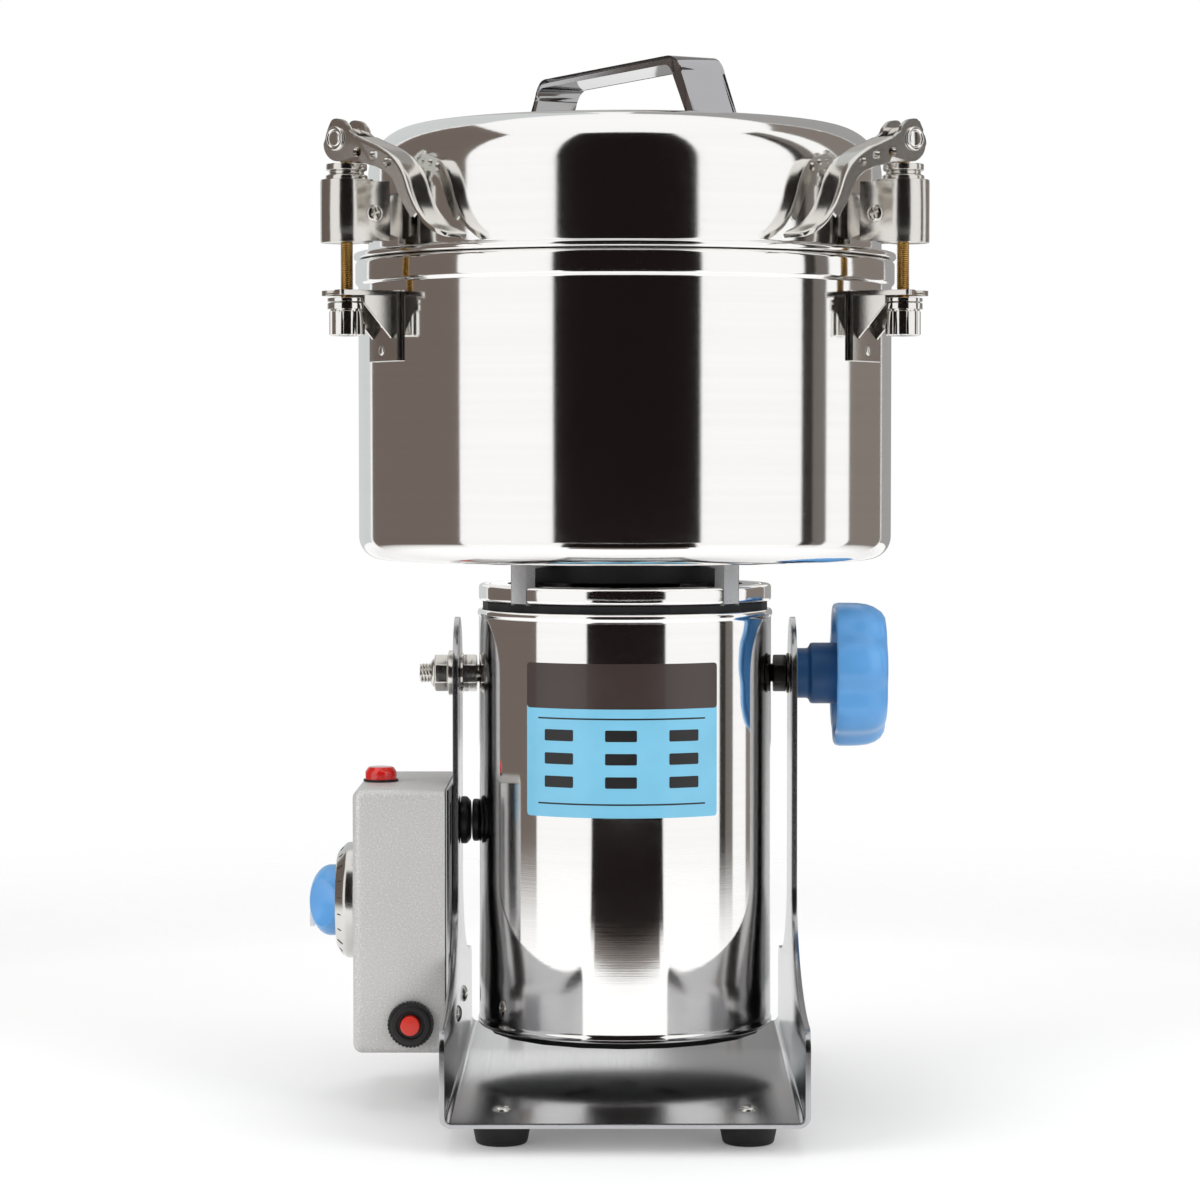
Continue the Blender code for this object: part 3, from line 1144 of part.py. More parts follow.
def make_bowl(parent, chrome, rubber, steel):
    """The bowl with its corner and rolled collar, the seal round the shaft and the three slotted clips."""
    base = PIVOT_HEIGHT
    low, top = BOWL_BOTTOM - base, BOWL_TOP - base
    collar = COLLAR_BOTTOM - base
    inner = BOWL_RADIUS - BOWL_WALL
    outer = arc((BOWL_RADIUS - BOWL_CORNER, low + BOWL_CORNER), BOWL_CORNER, -90.0, 0.0, 4)
    inside = arc((BOWL_RADIUS - BOWL_CORNER, low + BOWL_CORNER), BOWL_CORNER - BOWL_WALL, 0.0, -90.0, 4)
    proud = BOWL_RADIUS + COLLAR_STEP
    profile = [(BOWL_BORE_RADIUS, low)]
    profile += outer
    profile += [
        (BOWL_RADIUS, collar - COLLAR_STEP),
        (proud, collar),
        (proud, top - COLLAR_STEP),
        (BOWL_RADIUS, top),
        (inner, top),
    ]
    profile += inside
    profile.append((BOWL_BORE_RADIUS, low + BOWL_WALL))
    piece("bowl", revolve(profile, FINE_STEPS, closed=True), chrome, parent)

    floor = low + BOWL_WALL + GAP
    neck_bottom = HUB_PLATE_BOTTOM - base
    bore = SHAFT_RADIUS + GAP
    seal = revolve(
        [
            (bore, neck_bottom),
            (BOWL_BORE_RADIUS - GAP, neck_bottom),
            (BOWL_BORE_RADIUS - GAP, floor),
            (SEAL_RADIUS, floor),
            (SEAL_RADIUS - FOOT_EDGE, floor + SEAL_HEIGHT),
            (bore, floor + SEAL_HEIGHT),
        ],
        COARSE_STEPS,
        closed=True,
    )
    piece("shaft_seal", seal, rubber, parent)

    clip = None
    for name, direction, _ in CLAMPS:
        shape = clip.data if clip else clip_shape()
        clip = piece(f"clamp_clip_{name}", shape, steel, parent, turn=direction)


def clip_shape():
    """A riveted clip: a wall plate that follows the bowl, two gussets and a slotted shelf."""
    base = PIVOT_HEIGHT
    wall = BOWL_RADIUS + GAP
    shelf_top = CLIP_TOP - base
    shelf_bottom = shelf_top - CLIP_SHEET
    low = CLIP_WALL_BOTTOM - base
    back = wall + CLIP_WALL_SHEET
    half_turn = math.degrees(CLIP_WALL_HALF_WIDTH / wall)
    curve = arc((0.0, 0.0), back, -half_turn, half_turn, 4)
    curve += arc((0.0, 0.0), wall, half_turn, -half_turn, 4)
    shape = prism(curve, low, shelf_top)
    shelf = block(
        (back - CLIP_WALL_SHEET / 2, -CLIP_HALF_WIDTH, shelf_bottom),
        (CLIP_REACH, CLIP_HALF_WIDTH, shelf_top),
    )
    bevelled(
        shelf,
        CLIP_SHEET,
        lambda edge: min(v.co.x for v in edge.verts) > CLIP_REACH - MERGE
        and abs(edge.verts[0].co.y - edge.verts[1].co.y) < MERGE,
    )
    join(shape, shelf)
    gusset = [
        (back - CLIP_WALL_SHEET / 2, shelf_bottom + CLIP_SHEET / 2),
        (back - CLIP_WALL_SHEET / 2, low + CLIP_GUSSET_RISE),
        (CLIP_GUSSET_REACH, shelf_bottom - CLIP_GUSSET_DEPTH),
        (CLIP_GUSSET_REACH, shelf_bottom + CLIP_SHEET / 2),
    ]
    for side in (-1, 1):
        outer = CLIP_HALF_WIDTH - GAP / 2
        near, far = sorted((side * (outer - CLIP_GUSSET_SHEET), side * outer))
        join(shape, upright(gusset, near, far))
    half = CLIP_SLOT_WIDTH / 2
    slot = arc((CLIP_SLOT_INNER + half, 0.0), half, 90.0, 270.0, 6)
    slot += [(CLIP_REACH + OVERRUN, -half), (CLIP_REACH + OVERRUN, half)]
    cut(shape, prism(slot, shelf_bottom - OVERRUN, shelf_top + OVERRUN))
    return shape


def make_lid(parent, chrome, rubber):
    """The domed lid with its flange and three clamp lugs, its gasket and its strap handle."""
    base = BOWL_TOP
    flange_low = GAP
    flange_top = flange_low + LID_FLANGE
    top = LID_TOP - base
    inner = LID_RADIUS - LID_WALL
    shoulder = top - LID_SHOULDER
    profile = [
        (inner, flange_low),
        (LID_FLANGE_RADIUS - LID_FLANGE / 2, flange_low),
        (LID_FLANGE_RADIUS, flange_low + LID_FLANGE / 2),
        (LID_FLANGE_RADIUS - LID_FLANGE / 2, flange_top),
        (LID_RADIUS, flange_top),
    ]
    profile += arc((LID_RADIUS - LID_SHOULDER, shoulder), LID_SHOULDER, 0.0, LID_SHOULDER_DEGREES, 5)
    profile += [(0.0, top + LID_CROWN), (0.0, top + LID_CROWN - LID_WALL)]
    profile += arc(
        (LID_RADIUS - LID_SHOULDER, shoulder), LID_SHOULDER - LID_WALL, LID_SHOULDER_DEGREES, 0.0, 4
    )
    shape = revolve(profile + [profile[0]], FINE_STEPS)
    join(shape, around(lug_shape(), len(CLAMPS), CLAMPS[0][1]))
    piece("lid", shape, chrome, parent)

    seat = LID_RADIUS - LID_WALL
    outer = BOWL_RADIUS - BOWL_WALL - GAP
    gasket = revolve(
        [
            (outer - GASKET_WIDTH, -GASKET_HEIGHT),
            (outer - GAP, -GASKET_HEIGHT),
            (outer, -GASKET_HEIGHT / 2),
            (outer, 0.0),
            (seat, 0.0),
            (outer - GASKET_WIDTH, -GASKET_HEIGHT / 3),
        ],
        FINE_STEPS,
        closed=True,
    )
    piece("lid_gasket", gasket, rubber, parent)

    half = HANDLE_LENGTH / 2
    rest = top + LID_CROWN * (1.0 - (half - HANDLE_STRAP) / (LID_RADIUS - LID_SHOULDER)) + GAP
    lean = math.degrees(math.atan2(HANDLE_LEAN, HANDLE_RISE))
    corner = (half - HANDLE_LEAN - HANDLE_CORNER, rest + HANDLE_RISE - HANDLE_CORNER)
    outside = [(half, rest)] + arc(corner, HANDLE_CORNER, lean, 90.0, 4)
    inside = [(half - HANDLE_STRAP, rest)] + arc(corner, HANDLE_CORNER - HANDLE_STRAP, lean, 90.0, 4)
    outline = outside + [(-x, z) for x, z in outside[::-1] + inside] + inside[::-1]
    strap = upright(outline, -HANDLE_HALF_WIDTH, HANDLE_HALF_WIDTH)
    bevelled(strap, HANDLE_EDGE, is_strap_rim, 1)
    piece("lid_handle", strap, chrome, parent, turn=HANDLE_TURN)


def is_strap_rim(edge):
    """True on the long edges of the strap, which run along either side face."""
    side = HANDLE_HALF_WIDTH - MERGE
    return all(v.co.y > side for v in edge.verts) or all(v.co.y < -side for v in edge.verts)


def lug_shape():
    """A welded tongue on the lid that the clamp's sleeve straddles, with the hole of its pivot screw."""
    height = SCREW_HEIGHT - BOWL_TOP
    root = LID_RADIUS - LID_WALL / 2
    nose = arc((SCREW_CIRCLE, height), LUG_HALF_HEIGHT, -90.0, 90.0, 5)
    outline = [(root, height - LUG_ROOT_HALF_HEIGHT)]
    outline += nose
    outline.append((root, height + LUG_ROOT_HALF_HEIGHT))
    shape = upright(outline, -LUG_HALF_WIDTH, LUG_HALF_WIDTH)
    bore = drum(SCREW_RADIUS + GAP, -LUG_HALF_WIDTH - OVERRUN, LUG_HALF_WIDTH + OVERRUN, TINY_STEPS)
    cut(shape, moved(bore, (SCREW_CIRCLE, 0.0, height), "Y"))
    return shape


def sleeve_shape():
    """The clamp's sleeve: a strap bent round the rod, with end plates, a cap and its pivot screw."""
    rod = ROD_CIRCLE - SCREW_CIRCLE
    low, high = SLEEVE_BOTTOM - SCREW_HEIGHT, SLEEVE_TOP - SCREW_HEIGHT
    leg = rod - SLEEVE_LEG_REACH
    inside = SLEEVE_RADIUS - SLEEVE_SHEET
    outer = arc((rod, 0.0), SLEEVE_RADIUS, -90.0, 90.0, 8)
    inner = arc((rod, 0.0), inside, 90.0, -90.0, 8)
    strap = [(leg, -SLEEVE_RADIUS)] + outer + [(leg, SLEEVE_RADIUS), (leg, inside)]
    strap += inner + [(leg, -inside)]
    shape = prism(strap, low, high)
    plate = [(rod - LUG_HALF_WIDTH, -inside - GAP)] + arc((rod, 0.0), inside + GAP, -90.0, 90.0, 6)
    plate.append((rod - LUG_HALF_WIDTH, inside + GAP))
    join(shape, prism(plate, low + GAP, low + GAP + SLEEVE_SHEET))
    join(shape, prism(plate, high - GAP - SLEEVE_SHEET, high - GAP))
    cap_top = SLEEVE_CAP_TOP - SCREW_HEIGHT
    cap = drum(SLEEVE_CAP_RADIUS, high - GAP - SLEEVE_SHEET / 2, cap_top, SMALL_STEPS, SLEEVE_CAP_EDGE)
    join(shape, moved(cap, (rod, 0.0, 0.0)))
    bore = drum(ROD_RADIUS + GAP, low - OVERRUN, cap_top + OVERRUN, SMALL_STEPS)
    cut(shape, moved(bore, (rod, 0.0, 0.0)))
    screw = drum(SCREW_RADIUS, -SLEEVE_RADIUS - SLEEVE_SHEET, SLEEVE_RADIUS + SLEEVE_SHEET, TINY_STEPS)
    join(shape, moved(screw, axis="Y"))
    return shape


def rod_shape():
    """The draw rod: a rod that hangs from an eye with its cross pin."""
    length = PIN_HEIGHT - ROD_BOTTOM
    shape = drum(ROD_RADIUS, -length, 0.0, SMALL_STEPS)
    eye = drum(EYE_RADIUS, -EYE_HALF_WIDTH, EYE_HALF_WIDTH, SMALL_STEPS)
    join(shape, moved(eye, axis="Y"))
    pin = drum(PIN_RADIUS, -PIN_HALF_LENGTH, PIN_HALF_LENGTH, SMALL_STEPS)
    join(shape, moved(pin, axis="Y"))
    return shape


def lever_web(samples):
    """Points along the middle of the lever's web, a smooth curve through its shares."""
    points = [Vector((LEVER_LENGTH * along, LEVER_DROP * up)) for along, up in LEVER_WEB_SHARES]
    padded = [2 * points[0] - points[1]] + points + [2 * points[-1] - points[-2]]
    curve = []
    for before, start, end, after in zip(padded, padded[1:], padded[2:], padded[3:]):
        for step in range(samples):
            t = step / samples
            curve.append(
                0.5
                * (
                    2 * start
                    + (end - before) * t
                    + (2 * before - 5 * start + 4 * end - after) * t * t
                    + (3 * start - before - 3 * end + after) * t * t * t
                )
            )
    curve.append(points[-1])
    return curve


def cam_outline(samples):
    """The heel that bears on the cap: its reach falls evenly while the lever turns, like an involute."""
    fall = CAM_THROW / CAM_TURN
    points = []
    for step in range(samples + 1):
        turn = CAM_TURN * step / samples
        facing = math.radians(-90.0) - turn
        reach = CAM_REACH - fall * turn
        normal = Vector((math.cos(facing), math.sin(facing)))
        along = Vector((math.sin(facing), -math.cos(facing)))
        points.append(normal * reach - along * fall)
    return points


def lever_shape():
    """The cam lever, pressed like a channel: a swept web and two cheeks with round heads and cam heels."""
    web = lever_web(2)
    half = LEVER_SHEET / 2
    normals = []
    for n in range(len(web)):
        ahead = web[min(n + 1, len(web) - 1)] - web[max(n - 1, 0)]
        ahead.normalize()
        normals.append(Vector((-ahead.y, ahead.x)))
    upper = [tuple(p + n * half) for p, n in zip(web, normals)]
    lower = [tuple(p - n * half) for p, n in zip(web, normals)]
    shape = upright(upper + lower[::-1], -LEVER_HALF_WIDTH, LEVER_HALF_WIDTH)
    flare_from = LEVER_LENGTH * CHEEK_END_SHARE
    spread = LEVER_TIP_HALF_WIDTH / LEVER_HALF_WIDTH - 1.0
    for vertex in shape.verts:
        along = max(0.0, (vertex.co.x - flare_from) / (LEVER_LENGTH - flare_from))
        vertex.co.y *= 1.0 + spread * min(1.0, along)

    reach = [n for n, p in enumerate(web) if p.x < LEVER_LENGTH * CHEEK_END_SHARE]
    top_edge = [web[n] for n in reach] + [(web[reach[-1]] + web[reach[-1] + 1]) / 2]
    deep, shallow = CHEEK_DEPTH_SHARES
    bottom_edge = []
    for n in reach[1:]:
        share = (n - reach[1]) / (reach[-1] - reach[1])
        hang = CAM_REACH * (deep + (shallow - deep) * share)
        bottom_edge.append(web[n] - normals[n] * hang)
    heel = cam_outline(6)
    outline = [tuple(p) for p in reversed(heel)]
    outline += [tuple(p) for p in bottom_edge]
    outline += [tuple(p) for p in reversed(top_edge)]
    outline += arc((0.0, 0.0), LEVER_HEAD_RADIUS, HEAD_DEGREES[0], HEAD_DEGREES[1], 5)
    inner = LEVER_HALF_WIDTH - LEVER_SHEET
    for side in (-1, 1):
        near, far = sorted((side * inner, side * (LEVER_HALF_WIDTH - GAP / 3)))
        join(shape, upright(outline, near, far))
    pin_hole = drum(PIN_RADIUS + GAP, -LEVER_HALF_WIDTH - OVERRUN, LEVER_HALF_WIDTH + OVERRUN, SMALL_STEPS)
    cut(shape, moved(pin_hole, axis="Y"))
    for along, down in HOLE_SHARES:
        hole = drum(LEVER_HOLE_RADIUS, -LEVER_HALF_WIDTH - OVERRUN, LEVER_HALF_WIDTH + OVERRUN, TINY_STEPS)
        cut(shape, moved(hole, (LEVER_LENGTH * along, 0.0, LEVER_DROP * down), "Y"))
    return shape


def thumb_nut_shape():
    """The thumb nut under its washer: a fluted barrel with a bore for the rod."""
    outline = []
    for flute in range(THUMB_NUT_FLUTES):
        points = [(THUMB_NUT_RADIUS, share) for share in NUT_RIB_SHARES]
        points.append((THUMB_NUT_RADIUS - FLUTE_DEPTH, NUT_GROOVE_SHARE))
        for radius, share in points:
            turn = math.tau * (flute + share) / THUMB_NUT_FLUTES
            outline.append((radius * math.cos(turn), radius * math.sin(turn)))
    shape = prism(outline, -THUMB_NUT_HEIGHT, 0.0)
    cut(shape, drum(ROD_RADIUS + NUT_CLEARANCE, -THUMB_NUT_HEIGHT - OVERRUN, OVERRUN, SMALL_STEPS))
    return shape


def make_clamps(lid, bowl, steel, brass, chrome):
    """The three clamps: sleeve, rod and lever ride on the lid, washer and thumb nut hang under the clip."""
    sleeve = rod = lever = washer = nut = None
    shelf = CLIP_TOP - CLIP_SHEET - NUT_HANG
    for name, direction, way in CLAMPS:
        outward = Vector((math.cos(direction), math.sin(direction), 0.0))
        screw = outward * SCREW_CIRCLE
        axis = outward * ROD_CIRCLE
        swing = frame_at(f"swing_{name}", (screw.x, screw.y, SCREW_HEIGHT - BOWL_TOP), lid, direction)
        sleeve = piece(f"clamp_sleeve_{name}", sleeve.data if sleeve else sleeve_shape(), steel, swing)
        # The lever lies along the bowl's tangent, turned a little inward.
        heading = direction + way * (math.radians(90.0) + LEVER_INWARD)
        pin = frame_at(f"pin_{name}", (axis.x, axis.y, PIN_HEIGHT - BOWL_TOP), lid, heading)
        rod = piece(f"clamp_rod_{name}", rod.data if rod else rod_shape(), brass, pin)
        lever = piece(f"cam_lever_{name}", lever.data if lever else lever_shape(), steel, pin)
        under = frame_at(f"nut_{name}", (axis.x, axis.y, shelf - PIVOT_HEIGHT), bowl)
        shape = washer.data if washer else ring(
            ROD_RADIUS + NUT_CLEARANCE, WASHER_RADIUS, -WASHER_THICKNESS, 0.0, SMALL_STEPS
        )
        washer = piece(f"nut_washer_{name}", shape, chrome, under)
        seat = (0.0, 0.0, -WASHER_THICKNESS - GAP)
        nut = piece(f"thumb_nut_{name}", nut.data if nut else thumb_nut_shape(), chrome, under, seat)


def main():
    """Builds the mill from the floor up."""
    clear_objects()
    chrome = finish("polished steel", (0.78, 0.77, 0.75), 0.08, 1.0)
    steel = finish("pressed steel", (0.68, 0.67, 0.65), 0.22, 1.0)
    bracket_steel = finish("bracket steel", (0.60, 0.60, 0.60), 0.30, 1.0)
    dark = finish("dark steel", (0.12, 0.12, 0.12), 0.35, 0.9)
    iron = finish("lamination iron", (0.25, 0.24, 0.24), 0.5, 0.8)
    alloy = finish("cast alloy", (0.62, 0.63, 0.64), 0.45, 0.9)
    brass = finish("yellow zinc", (0.55, 0.42, 0.20), 0.35, 1.0)
    black = finish("black plastic", (0.02, 0.02, 0.02), 0.45, 0.0)
    cast = finish("black casting", (0.06, 0.06, 0.065), 0.6, 0.3)
    rubber = finish("rubber", (0.03, 0.03, 0.03), 0.8, 0.0)
    silicone = finish("silicone", (0.80, 0.78, 0.74), 0.5, 0.0)
    blue = finish("blue plastic", (0.10, 0.38, 0.75), 0.35, 0.0)
    paint = finish("silver paint", (0.66, 0.67, 0.68), 0.45, 0.3)
    red_lens = finish("red lens", (0.60, 0.02, 0.02), 0.2, 0.0)
    red = finish("red plastic", (0.80, 0.05, 0.03), 0.4, 0.0)

    stand = frame_at("stand_frame", (CENTRE_X, CENTRE_Y, 0.0))
    make_stand(stand, bracket_steel, rubber)
    make_control_box(stand, paint, bracket_steel)
    make_timer(stand, steel, blue)
    make_box_fittings(stand, red_lens, black, red)

    tilt = frame_at("tilt_frame", (0.0, 0.0, PIVOT_HEIGHT), stand)
    make_motor_case(tilt, chrome, black, cast)
    make_posts(tilt, alloy, cast)
    make_pivots(tilt, steel, dark)
    make_lock_knob(tilt, blue)
    make_stator(tilt, iron, steel, black)
    make_rotor(tilt, iron, alloy, steel)
    make_bowl(tilt, chrome, rubber, steel)

    lid = frame_at("lid_frame", (0.0, 0.0, BOWL_TOP - PIVOT_HEIGHT), tilt)
    make_lid(lid, chrome, silicone)
    make_clamps(lid, tilt, steel, brass, chrome)


main()
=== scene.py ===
"""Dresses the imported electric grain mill: fine meshes and finishes, plus a plain studio."""

import json
import logging
import math
from dataclasses import dataclass
from enum import Enum
from typing import Any, Callable, Optional, Sequence, Union

import bmesh
import bpy
from mathutils import Matrix, Vector


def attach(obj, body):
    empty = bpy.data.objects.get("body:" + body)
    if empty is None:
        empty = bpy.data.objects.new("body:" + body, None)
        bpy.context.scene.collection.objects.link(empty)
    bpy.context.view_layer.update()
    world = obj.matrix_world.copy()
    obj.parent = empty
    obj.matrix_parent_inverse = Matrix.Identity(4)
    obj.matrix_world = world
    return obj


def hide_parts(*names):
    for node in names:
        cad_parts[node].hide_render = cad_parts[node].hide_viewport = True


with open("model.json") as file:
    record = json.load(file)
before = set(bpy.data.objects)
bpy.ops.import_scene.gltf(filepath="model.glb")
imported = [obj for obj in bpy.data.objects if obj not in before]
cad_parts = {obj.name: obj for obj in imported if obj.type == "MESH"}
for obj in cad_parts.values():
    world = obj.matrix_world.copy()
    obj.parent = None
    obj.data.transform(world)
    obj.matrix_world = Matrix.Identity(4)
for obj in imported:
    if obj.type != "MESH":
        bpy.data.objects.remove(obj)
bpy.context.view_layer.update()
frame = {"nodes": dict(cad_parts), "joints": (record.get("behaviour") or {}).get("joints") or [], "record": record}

MM = 0.001
FULL_TURN = math.tau
JOINTS = {joint["name"]: joint for joint in frame["joints"]}
AXIS = Vector((*JOINTS["rotor_spin"]["pos_m"][:2], 0.0))
PIVOT_HEIGHT = JOINTS["tilt"]["pos_m"][2]

Point2 = tuple[float, float]
Point3 = tuple[float, float, float]
Colour = tuple[float, float, float]
Feed = Union["Value", float, int, tuple]

CLAMP_SIDES = (("left", 210.0, 1), ("right", 330.0, -1), ("back", 90.0, 1))
"""Each clamp's name, direction in degrees, and the way that its lever lies round the lid."""

log = logging.getLogger("grain mill")


def ink(red: int, green: int, blue: int) -> Colour:
    """Turns a screen colour into the linear one that a shader takes.

    Args:
        red: Red, from 0 to 255.
        green: Green, from 0 to 255.
        blue: Blue, from 0 to 255.

    Returns:
        The linear colour.
    """
    shares = [channel / 255.0 for channel in (red, green, blue)]
    return tuple(s / 12.92 if s <= 0.04045 else ((s + 0.055) / 1.055) ** 2.4 for s in shares)


class Value:
    """A shader socket: an expression on it adds its Math nodes."""

    def __init__(self, sheet: "Sheet", socket: bpy.types.NodeSocket) -> None:
        """Wraps a socket of a sheet of nodes."""
        self.sheet = sheet
        self.socket = socket

    def _math(self, operation: str, first: Feed, second: Feed = 0.0) -> "Value":
        """Adds one Math node on two feeds.

        Args:
            operation: The node's operation.
            first: Its first feed.
            second: Its second feed, if it has one.

        Returns:
            The node's result.
        """
        return self.sheet.node("ShaderNodeMath", {"operation": operation}, {0: first, 1: second})

    def __add__(self, other: Feed) -> "Value":
        """This value plus another."""
        return self._math("ADD", self, other)

    def __radd__(self, other: Feed) -> "Value":
        """Another value plus this one."""
        return self._math("ADD", other, self)

    def __sub__(self, other: Feed) -> "Value":
        """This value less another."""
        return self._math("SUBTRACT", self, other)

    def __rsub__(self, other: Feed) -> "Value":
        """Another value less this one."""
        return self._math("SUBTRACT", other, self)

    def __mul__(self, other: Feed) -> "Value":
        """This value times another."""
        return self._math("MULTIPLY", self, other)

    def __rmul__(self, other: Feed) -> "Value":
        """Another value times this one."""
        return self._math("MULTIPLY", other, self)

    def above(self, level: float) -> "Value":
        """One where this value is above a level, and nought elsewhere."""
        return self._math("GREATER_THAN", self, level)

    def larger(self, other: Feed) -> "Value":
        """The larger of this value and another."""
        return self._math("MAXIMUM", self, other)

    def ramp(self, low: float, high: float) -> "Value":
        """This value spread from nought at a low level to one at a high level."""
        feeds = {"Value": self, "From Min": low, "From Max": high}
        return self.sheet.node("ShaderNodeMapRange", {"clamp": True}, feeds)


class Sheet:
    """The nodes of one material or of the world."""

    def __init__(self, tree: bpy.types.NodeTree) -> None:
        """Starts from an empty tree."""
        self.tree = tree
        tree.nodes.clear()

    def node(
        self,
        kind: str,
        settings: Optional[dict[str, Any]] = None,
        inputs: Optional[dict[Union[int, str], Feed]] = None,
        output: Union[int, str] = 0,
    ) -> Value:
        """Adds a node.

        Args:
            kind: The node's type.
            settings: Its own settings, which are set first.
            inputs: What each socket gets, a number, a colour or another node's value.
            output: The socket that is handed back.

        Returns:
            The wrapped output socket.
        """
        made = self.tree.nodes.new(kind)
        for name, setting in (settings or {}).items():
            setattr(made, name, setting)
        for key, feed in (inputs or {}).items():
            if isinstance(feed, Value):
                self.tree.links.new(feed.socket, made.inputs[key])
            else:
                made.inputs[key].default_value = feed
        return Value(self, made.outputs[output]) if made.outputs else Value(self, made.inputs[0])

    def place(self) -> Value:
        """The place on the object, measured from the mill's axis on the floor."""
        return self.node("ShaderNodeTexCoord", output="Object")

    def stretched(self, scale: Point3, offset: Point3 = (0.0, 0.0, 0.0)) -> Value:
        """The place on the object, stretched along each axis and shifted.

        Args:
            scale: The stretch along each axis.
            offset: The shift along each axis.

        Returns:
            The stretched place.
        """
        feeds = {"Vector": self.place(), "Scale": scale, "Location": offset}
        return self.node("ShaderNodeMapping", None, feeds)

    def noise(self, place: Value, scale: float = 1.0, detail: float = 2.0, rough: float = 0.5) -> Value:
        """A cloudy noise between nought and one.

        Args:
            place: Where it is read.
            scale: How fine its clouds are.
            detail: How many finer layers it has.
            rough: How strongly the finer layers show.

        Returns:
            The noise's level.
        """
        feeds = {"Vector": place, "Scale": scale, "Detail": detail, "Roughness": rough}
        return self.node("ShaderNodeTexNoise", None, feeds, "Fac")

    def mixed(self, share: Feed, first: Feed, second: Feed) -> Value:
        """A colour between two others.

        Args:
            share: How far it lies towards the second.
            first: The colour at a share of nought.
            second: The colour at a share of one.

        Returns:
            The mixed colour.
        """
        feeds = {0: share, 6: opaque(first), 7: opaque(second)}
        return self.node("ShaderNodeMix", {"data_type": "RGBA"}, feeds, 2)

    def bump(self, height: Value, strength: float, depth: float) -> Value:
        """A normal that leans with a height.

        Args:
            height: The height that it follows.
            strength: How much of the lean is used.
            depth: The height of a level of one, in metres.

        Returns:
            The leaning normal.
        """
        return self.node("ShaderNodeBump", None, {"Height": height, "Strength": strength, "Distance": depth})


def opaque(colour: Feed) -> Feed:
    """A plain colour with full alpha; anything else is handed back as it is."""
    return (*colour, 1.0) if isinstance(colour, tuple) and len(colour) == 3 else colour


def tinted(colour: Colour, share: float) -> Colour:
    """A colour made darker or lighter by a share."""
    return tuple(min(1.0, channel * share) for channel in colour)


@dataclass(frozen=True)
class Finish:
    """What a surface is made of and how it was finished."""

    name: str

    def feeds(self, sheet: Sheet) -> dict[str, Feed]:
        """What the shader's sockets get.

        Args:
            sheet: The nodes of the material.

        Returns:
            A feed for each socket by name.
        """
        raise NotImplementedError

    def material(self) -> bpy.types.Material:
        """The finish as a material, made once."""
        known = bpy.data.materials.get(self.name)
        if known:
            return known
        made = bpy.data.materials.new(self.name)
        made.use_nodes = True
        sheet = Sheet(made.node_tree)
        feeds = {key: opaque(feed) for key, feed in self.feeds(sheet).items()}
        shader = sheet.node("ShaderNodeBsdfPrincipled", None, feeds)
        sheet.node("ShaderNodeOutputMaterial", None, {"Surface": shader})
        return made


class Grain(Enum):
    """Which way the fine lines of a steel surface run, as stretches of its noise."""

    AROUND = (28.0, 28.0, 2600.0)
    ALONG_X = (30.0, 2400.0, 2400.0)
    ALONG_Y = (2400.0, 30.0, 2400.0)
    ALONG_Z = (2400.0, 2400.0, 30.0)
    EVEN = (900.0, 900.0, 900.0)


@dataclass(frozen=True)
class Steel(Finish):
    """Steel sheet with fine lines from rolling or turning, faint marks and a little haze."""

    tone: Colour = ink(250, 249, 247)
    roughness: float = 0.10
    grain: Grain = Grain.AROUND
    line_strength: float = 0.05
    line_haze: float = 0.10
    haze: float = 0.05
    tone_spread: float = 0.03
    metallic: float = 1.0

    def feeds(self, sheet: Sheet) -> dict[str, Feed]:
        """Lines in the roughness and the normal, clouds of haze, and short bright marks."""
        lines = sheet.noise(sheet.stretched(self.grain.value), detail=5.0, rough=0.6)
        broad_grain = tuple(0.12 * stretch for stretch in self.grain.value)
        broad = sheet.noise(sheet.stretched(broad_grain), detail=2.0)
        clouds = sheet.noise(sheet.place(), 18.0, 3.0)
        marks = sheet.noise(sheet.stretched((260.0, 170.0, 300.0)), detail=3.0, rough=0.7).ramp(0.68, 0.78)
        wear = (lines - 0.5) * self.line_haze + (clouds - 0.5) * self.haze + marks * 0.05
        return {
            "Base Color": sheet.mixed(
                broad.ramp(0.25, 0.75), tinted(self.tone, 1.0 - self.tone_spread), tinted(self.tone, 1.0)
            ),
            "Roughness": (wear + self.roughness).larger(0.02),
            "Metallic": self.metallic,
            "Normal": sheet.bump(lines + broad * 0.5, self.line_strength, 0.15 * MM),
        }


@dataclass(frozen=True)
class Plastic(Finish):
    """Moulded plastic or rubber with a fine skin, a slightly uneven tint and handling marks."""

    tone: Colour = ink(30, 30, 30)
    roughness: float = 0.40
    coat: float = 0.0
    skin_strength: float = 0.12
    skin_scale: float = 2600.0
    tint_spread: float = 0.16

    def feeds(self, sheet: Sheet) -> dict[str, Feed]:
        """A fine skin in the normal, a cloudy tint and rubbed patches."""
        skin = sheet.noise(sheet.place(), self.skin_scale, 2.0)
        clouds = sheet.noise(sheet.place(), 60.0, 3.0)
        rubbed = sheet.noise(sheet.place(), 150.0, 4.0).ramp(0.45, 0.75)
        dark = tinted(self.tone, 1.0 - self.tint_spread)
        light = tinted(self.tone, 1.0 + self.tint_spread / 2)
        return {
            "Base Color": sheet.mixed(clouds.ramp(0.3, 0.7), dark, light),
            "Roughness": (rubbed * 0.10 + self.roughness).larger(0.05),
            "Coat Weight": self.coat,
            "Normal": sheet.bump(skin, self.skin_strength, 0.05 * MM),
        }


